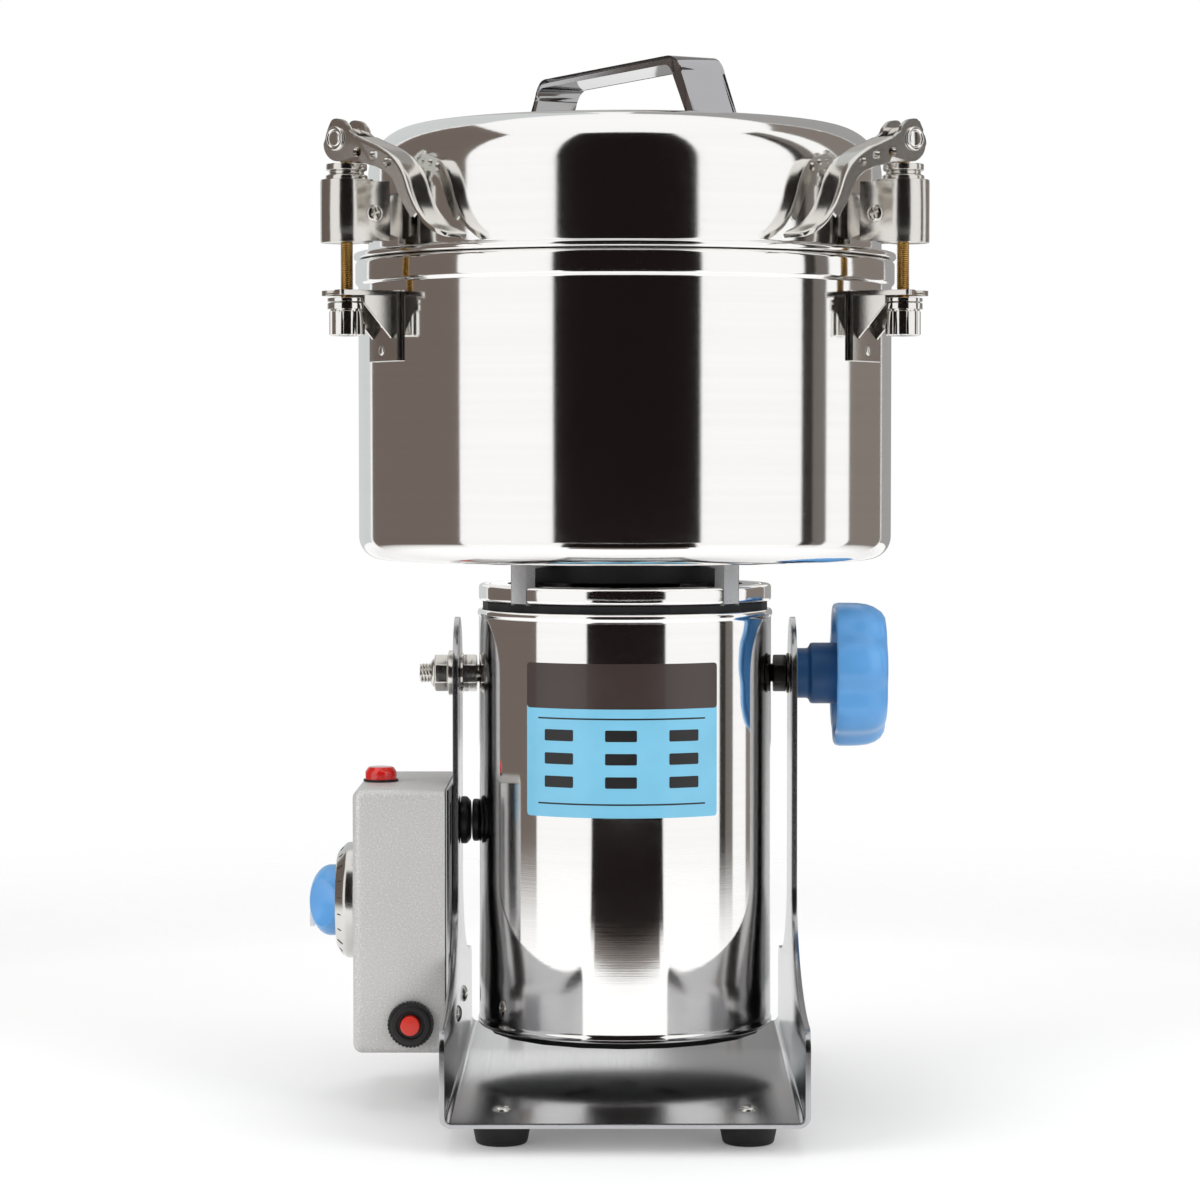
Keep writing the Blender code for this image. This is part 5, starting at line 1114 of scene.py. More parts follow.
    def build_breaker(self) -> None:
        """The knurled collar of the overload breaker and its red button."""
        radius, depth, ribs = 9.0 * MM, 4.0 * MM, 36
        outline = []
        for rib in range(ribs):
            for share, reach in ((-0.25, radius), (0.25, radius), (0.5, radius - 0.5 * MM)):
                turn = FULL_TURN * (rib + share) / ribs
                outline.append((reach * math.cos(turn), reach * math.sin(turn)))
        collar = Form.slab(outline, 0.0, depth - 0.9 * MM)
        collar.added(Form.lathe(eased([
            (5.3 * MM, depth - 1.0 * MM),
            (8.2 * MM, depth - 1.0 * MM),
            (7.4 * MM, depth),
            (5.3 * MM, depth),
        ], 0.4 * MM, 3, True), 48, True))
        collar.cut(Form.drum(4.1 * MM, -1.0 * MM, depth + 1.0 * MM))
        collar.added(Form.drum(4.4 * MM, 0.0, 0.6 * MM))
        x, z = self.breaker_place
        face = -self.half_depth - self.gap
        collar.turned(90.0, "X").moved(x, face, z)
        self.fit("breaker_collar", collar, BLACK_PLASTIC, "overload_breaker")
        button = Form.drum(3.8 * MM, -8.0 * MM, 3.0 * MM, 0.8 * MM, 40)
        button.turned(90.0, "X").moved(x, face - depth, z)
        self.fit_on("reset_button", "reset_cap", button, BUTTON_RED, "reset_button")

    def build_glands(self) -> None:
        """The cord's gland at the back of the box and the lead's gland through the arm."""
        ribs = []
        for rib in range(5):
            height = 1.2 * MM + 2.0 * MM * rib
            reach = 7.5 * MM - 0.45 * MM * rib
            ribs += [(reach, height), (reach, height + 1.2 * MM), (reach - 0.9 * MM, height + 1.2 * MM)]
        profile = [(3.4 * MM, 0.0), (7.5 * MM, 0.0)] + ribs + [(3.4 * MM, 12.0 * MM)]
        cord = Form.lathe(profile, 40, ring=True).turned(-90.0, "X")
        x = self.breaker_place[0]
        cord.moved(x, self.half_depth + self.gap, self.cord_height)
        self.fit("cord_bush", cord, BLACK_PLASTIC, "cord_gland")
        points = [(3.0, -4.0), (7.0, -4.0), (7.0, 0.0), (9.5, 0.0), (9.5, 2.4), (7.6, 4.0), (3.0, 4.0)]
        profile = eased([(r * MM, z * MM) for r, z in points], 0.6 * MM, 3, True)
        bush = Form.lathe(profile, 48, True).turned(90.0, "Y").moved(-self.lead_reach, 0.0, self.lead_height)
        self.fit("arm_bush", bush, BLACK_PLASTIC, "arm_lead_gland")


@dataclass
class MotorCase(Assembly):
    """The polished shell with its label, the ring and posts over it, and the tilt hardware."""

    body: str = "mill"
    radius: float = 58.4 * MM
    wall: float = 1.2 * MM
    bottom: float = 29.0 * MM
    top: float = 195.0 * MM
    roll: float = 1.0 * MM
    ring_bottom: float = 198.3 * MM
    ring_top: float = 205.0 * MM
    ring_inner: float = 47.0 * MM
    post_half: float = 4.2 * MM
    post_depth: float = 4.0 * MM
    bowl_bottom: float = 215.0 * MM
    gap: float = 0.3 * MM
    label_bottom: float = 116.5 * MM
    label_split: float = 160.5 * MM
    label_top: float = 176.0 * MM
    label_start: float = -40.5
    label_end: float = 37.5
    bolt_reach: float = 82.0 * MM
    stud_reach: float = 93.0 * MM
    bolt_root: float = 57.0 * MM
    collar_end: float = 65.7 * MM
    across_flats: float = 13.0 * MM
    lead_height: float = 110.0 * MM

    def build(self) -> None:
        """Makes the case from the bottom up."""
        self.build_shell()
        self.build_label()
        self.build_ring()
        self.build_posts()
        self.build_hub()
        self.build_hardware()

    def build_shell(self) -> None:
        """The tube with a rolled bead at each end."""
        inner, bead = self.radius - self.wall, self.radius + self.roll / 2
        corners = [
            (inner, self.bottom),
            (self.radius, self.bottom),
            (bead, self.bottom + self.roll),
            (bead, self.bottom + 2 * self.roll),
            (self.radius, self.bottom + 3 * self.roll),
            (self.radius, self.bottom + 4 * self.roll),
            (self.radius, self.top - 4 * self.roll),
            (self.radius, self.top - 3 * self.roll),
            (bead, self.top - 2 * self.roll),
            (bead, self.top - self.roll),
            (self.radius, self.top),
            (inner, self.top),
        ]
        shell = Form.lathe(eased(corners, 0.5 * MM, 3, True), 160, ring=True)
        self.fit("shell_tube", shell, SHELL_STEEL, "motor_shell")

    def film(self, low: float, high: float, start: float, end: float, lift: float, corner: float) -> Form:
        """A film patch on the shell.

        Args:
            low: Its lower edge.
            high: Its upper edge.
            start: Its left edge, in degrees from the front.
            end: Its right edge, in degrees from the front.
            lift: How far it stands off the shell.
            corner: The radius of its corners.

        Returns:
            The patch, bent round the shell.
        """
        reach = self.radius + lift
        half = math.radians(end - start) / 2 * reach
        outline = eased([(-half, low), (half, low), (half, high), (-half, high)], corner, 5, True)
        film = Form.slab(outline, 0.0, 0.05 * MM)
        spans = math.ceil((end - start) / 3.0)
        for step in range(1, spans):
            across = half * (2.0 * step / spans - 1.0)
            geometry = film.mesh.verts[:] + film.mesh.edges[:] + film.mesh.faces[:]
            plane = {"plane_co": (across, 0.0, 0.0), "plane_no": (1.0, 0.0, 0.0)}
            bmesh.ops.bisect_plane(film.mesh, geom=geometry, **plane)
        middle = math.radians((start + end) / 2)
        for vertex in film.mesh.verts:
            turn = vertex.co.x / reach + middle
            out = reach + vertex.co.z
            height = vertex.co.y
            vertex.co = Vector((out * math.sin(turn), -out * math.cos(turn), height))
        return film.cleaned()

    def build_label(self) -> None:
        """A plain two-tone label: a dark band over a pale field, with blank fields and two rules."""
        start, end, corner = self.label_start, self.label_end, 1.6 * MM
        field = self.film(self.label_bottom, self.label_split, start, end, 0.05 * MM, corner)
        self.fit("label_field", field, LABEL_BLUE, slot="blue_plastic")
        band = self.film(self.label_split - 2.0 * MM, self.label_top, start, end, 0.08 * MM, corner)
        self.fit("label_band", band, LABEL_BROWN, slot="black_plastic")
        fields = Form()
        for column in (-32.0, -7.5, 17.0):
            for height in (146.0 * MM, 137.0 * MM, 128.0 * MM):
                fields.added(self.film(height, height + 4.4 * MM, column, column + 12.0, 0.12 * MM, 0.6 * MM))
        for low, high in ((121.4 * MM, 122.0 * MM), (154.4 * MM, 155.0 * MM)):
            fields.added(self.film(low, high, -35.0, 32.0, 0.12 * MM, 0.2 * MM))
        self.fit("label_blank_fields", fields, LABEL_INK, slot="black_plastic")

    def build_ring(self) -> None:
        """The vent ring, notched for the posts."""
        low, high, inner = self.ring_bottom, self.ring_top, self.ring_inner
        back = self.radius - self.post_depth - 2 * self.gap
        corners = [(back, low), (self.radius, low), (self.radius, high), (back, high)]
        section = eased(corners, 1.5 * MM, 4, True)
        ring = Form.lathe([(inner, low), (back, low), (back, high), (inner, high)], 120, ring=True)
        half = math.degrees((self.post_half + self.gap) / self.radius)
        for quarter in range(4):
            first = 45.0 + 90.0 * quarter + half
            part = Form.lathe(section, 160, True, math.radians(first), math.radians(90.0 - 2 * half))
            ring.added(part)
        self.fit("ring_band", ring, POLISHED, "vent_ring")

    def build_posts(self) -> None:
        """The four posts, each with a flange under the bowl."""
        outer = self.radius - self.gap
        inner = outer - self.post_depth
        top, low = self.bowl_bottom - self.gap, self.ring_bottom
        head = top - self.post_depth / 2
        flange = inner - 9.0 * MM
        outline = [(outer, low), (outer, top), (flange, top), (flange, head), (inner, head), (inner, low)]
        for corner in range(4):
            post = upright(outline, self.post_half).bevelled(0.5 * MM, 2).turned(45.0 + 90.0 * corner)
            self.fit(f"post_{corner + 1}", post, GREY_CASTING, f"bowl_post_{corner + 1}")

    def build_hub(self) -> None:
        """The black hub between the posts, round the shaft."""
        profile = [
            (12.0 * MM, 196.8 * MM),
            (20.0 * MM, 196.8 * MM),
            (22.5 * MM, 206.0 * MM),
            (41.0 * MM, 206.0 * MM),
            (41.0 * MM, 214.7 * MM),
            (12.0 * MM, 214.7 * MM),
        ]
        hub = Form.lathe(eased(profile, 0.8 * MM, 3, True), 72, ring=True)
        self.fit("hub_casting", hub, BLACK_CASTING, "hub_plate")

    def build_hardware(self) -> None:
        """The bolt, the stud, the lock nut and the lead's bush on the shell."""
        collar_in, collar_out = self.radius + 0.8 * MM, self.collar_end
        for name, side, reach, finish, node in (
            ("tilt_bolt", -1, self.bolt_reach, PRESSED, "pivot_bolt"),
            ("tilt_stud", 1, self.stud_reach, DARK_STEEL, "lock_stud"),
        ):
            rod = self.threaded(4.0 * MM, 1.25 * MM, self.bolt_root, reach, 18)
            collar = Form.slab(hexagon(self.across_flats), collar_in, collar_out - 1.2 * MM)
            rod.added(collar.bevelled(0.5 * MM, 2))
            rod.added(Form.drum(8.0 * MM, collar_out - 1.1 * MM, collar_out, 0.3 * MM))
            self.fit(name, rod.turned(90.0 * side, "Y").moved(0.0, 0.0, PIVOT_HEIGHT), finish, node)
        nut = Form.drum(9.0 * MM, 68.3 * MM, 70.6 * MM, 0.5 * MM)
        nut.added(Form.slab(hexagon(self.across_flats), 70.5 * MM, 76.2 * MM).bevelled(0.7 * MM, 3))
        nut.added(Form.lathe(arc((0.0, 76.0 * MM), 5.9 * MM, 0.0, 60.0, 6, 0.4), 32))
        nut.turned(-90.0, "Y").moved(0.0, 0.0, PIVOT_HEIGHT)
        self.fit("tilt_lock_nut", nut, PRESSED, "pivot_lock_nut")
        points = [(3.0, 57.5), (8.5, 58.6), (8.5, 60.6), (7.6, 61.1), (3.0, 61.1)]
        profile = eased([(r * MM, z * MM) for r, z in points], 0.4 * MM, 3, True)
        bush = Form.lathe(profile, 40, True).turned(-90.0, "Y").moved(0.0, 0.0, self.lead_height)
        self.fit("shell_bush", bush, BLACK_PLASTIC, "motor_lead_gland")

    @staticmethod
    def threaded(radius: float, pitch: float, low: float, high: float, steps: int = 16) -> Form:
        """A rod with a rolled thread.

        Args:
            radius: The thread's outer radius.
            pitch: The height of one turn.
            low: Where it starts.
            high: Where it ends.
            steps: Points round the rod.

        Returns:
            The rod along Z.
        """
        rows = []
        count = max(2, round((high - low) / pitch * 4))
        for row in range(count + 1):
            height = low + (high - low) * row / count
            points = []
            for step in range(steps):
                phase = (height / pitch - step / steps) % 1.0
                reach = radius - pitch * 0.5 * abs(2.0 * phase - 1.0)
                if row in (0, count):
                    reach = radius - pitch * 0.5
                turn = FULL_TURN * step / steps
                points.append((reach * math.cos(turn), reach * math.sin(turn), height))
            rows.append(points)
        return Form.grid(rows, loop=True)


@dataclass
class LockKnob(Assembly):
    """The lobed knob that locks the tilt."""

    body: str = "lock_knob"
    radius: float = 29.2 * MM
    back: float = 83.5 * MM
    face: float = 104.0 * MM
    lobes: int = 7
    lobe_depth: float = 2.4 * MM

    def lobed(self, radius: float, height: float, share: float) -> list[Point3]:
        """A ring of points that follows the lobes.

        Args:
            radius: The ring's radius on a lobe.
            height: Its height.
            share: How much of the lobes' depth it has.

        Returns:
            The ring's points.
        """
        steps = self.lobes * 16
        points = []
        for step in range(steps):
            turn = FULL_TURN * step / steps
            dip = share * self.lobe_depth * (0.5 - 0.5 * math.cos(self.lobes * turn)) ** 2
            points.append(((radius - dip) * math.cos(turn), (radius - dip) * math.sin(turn), height))
        return points

    def build(self) -> None:
        """The cup with its rounded rim and dished face, and its hub."""
        depth = self.face - self.back
        shares = [
            (0.80, 0.20, 0.6), (0.90, 0.02, 0.8), (0.955, 0.0, 1.0), (0.985, 0.03, 1.0),
            (1.0, 0.12, 1.0), (1.0, 0.30, 1.0), (0.995, 0.50, 1.0), (0.98, 0.66, 1.0),
            (0.945, 0.80, 1.0), (0.89, 0.91, 1.0), (0.81, 0.98, 0.9), (0.72, 1.0, 0.7),
            (0.62, 0.985, 0.4), (0.50, 0.955, 0.1), (0.36, 0.94, 0.0), (0.12, 0.935, 0.0),
        ]
        rows = [
            self.lobed(self.radius * reach, self.back + depth * rise, lobe) for reach, rise, lobe in shares
        ]
        cup = Form.grid(rows, loop=True).turned(90.0, "Y").moved(0.0, 0.0, PIVOT_HEIGHT)
        self.fit("lock_cup", cup, KNOB_BLUE, "tilt_lock_knob")
        profile = [
            (4.2 * MM, 68.4 * MM),
            (10.0 * MM, 68.4 * MM),
            (10.0 * MM, 73.2 * MM),
            (12.2 * MM, 74.2 * MM),
            (12.2 * MM, 90.0 * MM),
            (4.2 * MM, 90.0 * MM),
        ]
        hub = Form.lathe(eased(profile, 0.8 * MM, 3, True), 48, True).turned(90.0, "Y")
        self.fit("lock_hub", hub.moved(0.0, 0.0, PIVOT_HEIGHT), KNOB_BACK, slot="blue_plastic")


@dataclass
class Bowl(Assembly):
    """The grinding bowl with its rolled collar."""

    body: str = "mill"
    radius: float = 106.0 * MM
    wall: float = 1.5 * MM
    bottom: float = 215.0 * MM
    corner: float = 9.0 * MM
    collar: float = 324.0 * MM
    top: float = 333.0 * MM
    step: float = 1.2 * MM
    bore: float = 11.0 * MM

    def build(self) -> None:
        """Makes the bowl in one spun skin."""
        centre = (self.radius - self.corner, self.bottom + self.corner)
        outside = arc(centre, self.corner, -90.0, 0.0, 12)
        inside = arc(centre, self.corner - self.wall, 0.0, -90.0, 12)
        proud = self.radius + self.step
        rim = eased([
            (self.radius, self.collar - 2.0 * MM),
            (self.radius, self.collar - self.step),
            (proud, self.collar),
            (proud, self.top - self.step),
            (self.radius, self.top),
            (self.radius - self.wall, self.top),
            (self.radius - self.wall, self.top - 2.0 * MM),
        ], 0.7 * MM, 4)
        profile = [(self.bore, self.bottom)] + outside + rim + inside + [(self.bore, self.bottom + self.wall)]
        bowl = Form.lathe(profile, 192, ring=True)
        self.fit("bowl_spun", bowl, POLISHED, "bowl")


@dataclass
class Lid(Assembly):
    """The domed lid with its flange, lugs, gasket and strap handle."""

    body: str = "lid"
    base: float = 333.0 * MM
    flange_radius: float = 107.8 * MM
    flange: float = 2.6 * MM
    radius: float = 102.0 * MM
    wall: float = 1.5 * MM
    shoulder: float = 19.0 * MM
    top: float = 385.5 * MM
    crown: float = 1.5 * MM
    gap: float = 0.3 * MM
    screw_circle: float = 115.5 * MM
    screw_height: float = 348.0 * MM
    handle_length: float = 140.0 * MM
    handle_rise: float = 23.5 * MM
    handle_half: float = 9.5 * MM
    strap: float = 3.6 * MM
    handle_lean: float = 9.0 * MM
    handle_corner: float = 11.0 * MM
    handle_turn: float = -61.0
    lug_nose: float = 3.8 * MM
    lug_half_height: float = 9.0 * MM
    lug_half_width: float = 6.0 * MM
    seal_radius: float = 104.2 * MM

    def build(self) -> None:
        """Makes the lid and what it carries."""
        low = self.base + self.gap
        high = low + self.flange
        centre = (self.radius - self.shoulder, self.top - self.shoulder)
        flange = eased([
            (self.radius - self.wall, low),
            (self.flange_radius, low),
            (self.flange_radius, high),
            (self.radius, high),
            (self.radius, high + 4.0 * MM),
        ], 1.2 * MM, 5)
        outside = arc(centre, self.shoulder, 0.0, 84.0, 16)
        radii = [self.radius * share for share in (0.7, 0.5, 0.3, 0.12)]
        crown = [(radius, self.crown_height(radius)) for radius in radii]
        inside = arc(centre, self.shoulder - self.wall, 84.0, 0.0, 12)
        peak = self.top + self.crown
        profile = flange + outside + crown + [(0.0, peak), (0.0, peak - self.wall)]
        lid = Form.lathe(profile + inside + [profile[0]], 192)
        self.fit("lid_spun", lid, LID_STEEL, "lid")
        for name, turn, _ in CLAMP_SIDES:
            nose = arc((self.screw_circle, self.screw_height), self.lug_nose, -90.0, 90.0, 10)
            root, half = self.radius - self.wall / 2, self.lug_half_height
            outline = [(root, self.screw_height - half)] + nose + [(root, self.screw_height + half)]
            lug = upright(outline, self.lug_half_width).bevelled(0.5 * MM, 2)
            self.fit(f"lug_{name}", lug.turned(turn), PRESSED, slot="pressed_steel")
        rim = self.seal_radius
        seal = eased([
            (rim - 3.6 * MM, 327.0 * MM),
            (rim - 0.3 * MM, 327.0 * MM),
            (rim, 330.0 * MM),
            (rim, 333.0 * MM),
            (100.5 * MM, 333.0 * MM),
            (rim - 3.6 * MM, 331.0 * MM),
        ], 0.6 * MM, 3, True)
        self.fit("lid_seal", Form.lathe(seal, 128, True), SILICONE, "lid_gasket")
        self.build_handle()

    def crown_height(self, radius: float) -> float:
        """The height of the lid's top at a radius."""
        edge = self.radius - self.shoulder
        return self.top + self.crown * (1.0 - radius / edge)

    def build_handle(self) -> None:
        """The strap handle with its two bends and rounded edges."""
        half = self.handle_length / 2
        rest = self.crown_height(half - self.strap) + self.gap
        lean = math.degrees(math.atan2(self.handle_lean, self.handle_rise))
        corner = self.handle_corner
        centre = (half - self.handle_lean - corner, rest + self.handle_rise - corner)
        outer = [(half, rest)] + arc(centre, corner, lean, 90.0, 12)
        inner = [(half - self.strap, rest)] + arc(centre, corner - self.strap, lean, 90.0, 12)
        outline = outer + [(-x, z) for x, z in reversed(outer)]
        outline += [(-x, z) for x, z in inner] + inner[::-1]
        strap = upright(outline, self.handle_half).bevelled(1.1 * MM, 4).turned(self.handle_turn)
        # The strap's darker plating tone is painted shade for the dark things it mirrors.
        self.fit("handle_strap", strap, SHADED_HANDLE_CHROME, "lid_handle")


@dataclass
class Clamp(Assembly):
    """One cam clamp: its clip on the bowl, sleeve and rod on the lid, lever, washer and thumb nut."""

    body: str = "mill"
    name: str = "left"
    direction: float = 210.0
    way: int = 1
    bowl_radius: float = 106.0 * MM
    rod_circle: float = 122.5 * MM
    screw_circle: float = 115.5 * MM
    screw_height: float = 348.0 * MM
    sleeve_radius: float = 10.0 * MM
    sheet: float = 1.5 * MM
    sleeve_bottom: float = 337.0 * MM
    sleeve_top: float = 361.0 * MM
    cap_top: float = 367.0 * MM
    rod_radius: float = 2.5 * MM
    rod_bottom: float = 303.0 * MM
    pin_height: float = 376.3 * MM
    lever_length: float = 56.0 * MM
    lever_drop: float = 38.5 * MM
    lever_sheet: float = 1.7 * MM
    lever_half: float = 6.0 * MM
    tip_half: float = 8.0 * MM
    clip_top: float = 319.0 * MM
    clip_reach: float = 129.6 * MM
    gap: float = 0.3 * MM
    head_radius: float = 7.6 * MM
    hole_radius: float = 2.0 * MM
    cheek_end: float = 0.75
    web_shares: tuple[Point2, ...] = (
        (0.18, 0.00), (0.30, -0.07), (0.42, -0.14), (0.53, -0.24), (0.61, -0.38), (0.67, -0.58),
        (0.74, -0.75), (0.84, -0.89), (1.00, -1.00),
    )
    hole_shares: tuple[Point2, ...] = ((0.20, -0.145), (0.35, -0.19), (0.475, -0.265))
    clip_bottom: float = 292.0 * MM
    clip_sheet: float = 1.6 * MM
    clip_half_width: float = 12.0 * MM
    shelf_sheet: float = 2.0 * MM
    shelf_half: float = 9.0 * MM
    slot_half: float = 3.5 * MM
    slot_start: float = 119.0 * MM
    gusset_end: float = 118.9 * MM
    rivet_heights: Point2 = (296.3 * MM, 307.0 * MM)
    heel_millimetres: float = 8.7
    heel_fall: float = 3.5 * MM
    open_degrees: float = 120.0
    lever_heading: float = 111.0
    nut_hang: float = 0.9 * MM
    nut_radius: float = 6.8 * MM
    nut_height: float = 12.6 * MM
    washer_radius: float = 7.5 * MM
    washer_sheet: float = 1.5 * MM

    def fit_on(
        self, body: str, name: str, form: Form, finish: Finish, node: str = "", slot: str = ""
    ) -> None:
        """Places a piece of this clamp.

        Args:
            body: The body's name without this clamp's side, or the mill.
            name: The piece's name without the side.
            form: Its form.
            finish: What it is made of.
            node: The node that it replaces, without the side, if any.
            slot: The record's material slot, handed on to the piece's fit; it is not used there.
        """
        host = Assembly(body if body == "mill" else f"{body}_{self.name}")
        host.fit(f"{name}_{self.name}", form, finish, f"{node}_{self.name}" if node else "", slot)

    def outward(self, form: Form) -> Form:
        """Turns a form that was made along X so that it stands at this clamp's side of the bowl."""
        return form.turned(self.direction)

    def build(self) -> None:
        """Makes the clamp from the clip up."""
        self.build_clip()
        self.build_sleeve()
        self.build_rod()
        self.build_lever()
        self.build_nut()

    def build_clip(self) -> None:
        """The riveted wall plate with its slotted shelf and two gussets."""
        wall, low, top = self.bowl_radius + self.gap, self.clip_bottom, self.clip_top
        back = wall + self.clip_sheet
        half_turn = math.degrees(self.clip_half_width / wall)
        plate = arc((0.0, 0.0), back, -half_turn, half_turn, 10)
        plate += arc((0.0, 0.0), wall, half_turn, -half_turn, 10)
        clip = Form.slab(plate, low, top).bevelled(0.3 * MM, 1)
        root, shelf_low = back - 0.8 * MM, top - self.shelf_sheet
        shelf = Form.slab(self.shelf_outline(root), shelf_low, top).bevelled(0.35 * MM, 2)
        gusset = [
            (root, shelf_low + 1.0 * MM),
            (root, low + 8.5 * MM),
            (self.gusset_end, shelf_low - 3.0 * MM),
            (self.gusset_end, shelf_low + 1.0 * MM),
        ]
        parts = [shelf]
        for side in (-1, 1):
            rib = upright(gusset, 0.75 * MM).bevelled(0.25 * MM, 1)
            parts.append(rib.moved(0.0, side * 8.1 * MM))
        for height in self.rivet_heights:
            rivet = Form.lathe(arc((0.0, 0.0), 2.0 * MM, 0.0, 90.0, 6, 0.45), 24).turned(90.0, "Y")
            parts.append(rivet.moved(back - 0.1 * MM, 0.0, height))
        clip.added(*parts)
        self.fit_on("mill", "clip", self.outward(clip), PRESSED, "clamp_clip")

    def shelf_outline(self, root: float) -> list[Point2]:
        """The shelf's outline from above, from its root round the slot for the rod."""
        half, slot, reach = self.shelf_half, self.slot_half, self.clip_reach
        lip, inset = slot + 1.0 * MM, reach - 4.0 * MM
        outline = [(root, -half)]
        outline += eased([(reach - 6.0 * MM, -half), (reach, -half), (reach, -lip)], 3.5 * MM, 5)
        outline += eased([(reach, -lip), (reach, -slot), (inset, -slot)], 0.8 * MM, 3)
        outline += arc((self.slot_start + slot, 0.0), slot, 270.0, 90.0, 14)
        outline += eased([(inset, slot), (reach, slot), (reach, lip)], 0.8 * MM, 3)
        outline += eased([(reach, lip), (reach, half), (reach - 6.0 * MM, half)], 3.5 * MM, 5)
        return outline + [(root, half)]

    def build_sleeve(self) -> None:
        """The strap round the rod with its end plates, its turned cap and its pivot screw."""
        leg = self.rod_circle - 13.7 * MM
        inside = self.sleeve_radius - self.sheet
        middle = (self.rod_circle, 0.0)
        strap = [(leg, -self.sleeve_radius)] + arc(middle, self.sleeve_radius, -90.0, 90.0, 24)
        strap += [(leg, self.sleeve_radius), (leg, inside)]
        strap += arc(middle, inside, 90.0, -90.0, 24) + [(leg, -inside)]
        low, high = self.sleeve_bottom, self.sleeve_top
        sleeve = Form.slab(strap, low + 0.6 * MM, high - 0.6 * MM).bevelled(0.3 * MM, 2)
        lip = self.sleeve_radius - 0.05 * MM
        edge = self.rod_circle - 6.5 * MM
        plate = [(edge, -lip)] + arc(middle, lip, -90.0, 90.0, 24) + [(edge, lip)]
        for height in (low, high - self.sheet):
            sleeve.added(Form.slab(plate, height, height + self.sheet).bevelled(0.35 * MM, 2))
        cap = eased([
            (self.rod_radius + self.gap, high - 0.4 * MM),
            (8.0 * MM, high - 0.4 * MM),
            (8.0 * MM, high + 1.6 * MM),
            (6.6 * MM, high + 2.1 * MM),
            (6.6 * MM, high + 3.1 * MM),
            (7.8 * MM, high + 3.6 * MM),
            (7.8 * MM, self.cap_top),
            (self.rod_radius + self.gap, self.cap_top),
        ], 0.45 * MM, 3, True)
        sleeve.added(Form.lathe(cap, 56, True).moved(self.rod_circle))
        self.fit_on("clamp_sleeve", "sleeve", self.outward(sleeve), PRESSED, "clamp_sleeve")
        screws = Form()
        for side in (-1, 1):
            head = pan_head(3.4 * MM, 1.5 * MM).turned(-90.0 * side, "X")
            screws.added(head.moved(self.screw_circle, side * self.sleeve_radius, self.screw_height))
        self.fit_on("clamp_sleeve", "sleeve_screw", self.outward(screws), SCREW_STEEL, slot="pressed_steel")

    def build_rod(self) -> None:
        """The plated rod with its thread, and the cross pin in its eye."""
        rod = MotorCase.threaded(self.rod_radius, 0.8 * MM, self.rod_bottom, 337.5 * MM)
        rod.added(Form.drum(self.rod_radius * 0.96, 337.0 * MM, self.pin_height - 2.0 * MM, 0.2 * MM, 24))
        rod.moved(self.rod_circle)
        self.fit_on("clamp_rod", "draw_rod", self.outward(rod), ZINC, "clamp_rod")
        pin = Form.drum(5.0 * MM, -4.0 * MM, 4.0 * MM, 0.5 * MM)
        pin.added(Form.drum(4.0 * MM, -6.2 * MM, 6.2 * MM, 0.3 * MM))
        head = [
            (0.0, 0.75), (2.6, 0.75), (2.9, 0.45), (3.3, 0.45), (3.6, 0.9), (4.2, 0.9), (4.6, 0.5),
            (4.6, 0.0), (0.0, 0.0),
        ]
        for side in (0.0, 180.0):
            rivet = Form.lathe(eased([(x * MM, z * MM) for x, z in head], 0.15 * MM, 2), 40)
            pin.added(rivet.moved(0.0, 0.0, 6.05 * MM).turned(side, "X"))
        pin = self.at_pin(pin.turned(90.0, "X"))
        self.fit_on("clamp_rod", "cross_pin", pin, BRIGHT, slot="pressed_steel")

    def at_pin(self, form: Form) -> Form:
        """Lays a form that was made round the pin, its lever along X, where this clamp's lever lies."""
        heading = self.direction + self.way * self.lever_heading
        turn = math.radians(self.direction)
        place = (self.rod_circle * math.cos(turn), self.rod_circle * math.sin(turn), self.pin_height)
        return form.turned(heading).moved(*place)

    def web(self, samples: int) -> list[Vector]:
        """The middle of the lever's web, a smooth curve through its shares.

        Args:
            samples: Points from one share to the next.

        Returns:
            The curve's points in the lever's plane.
        """
        points = [Vector((self.lever_length * along, self.lever_drop * up)) for along, up in self.web_shares]
        padded = [2 * points[0] - points[1]] + points + [2 * points[-1] - points[-2]]
        curve = []
        for before, start, end, after in zip(padded, padded[1:], padded[2:], padded[3:]):
            for step in range(samples):
                t = step / samples
                curve.append(0.5 * (
                    2 * start + (end - before) * t + (2 * before - 5 * start + 4 * end - after) * t ** 2
                    + (3 * start - before - 3 * end + after) * t ** 3
                ))
        return curve + [points[-1]]

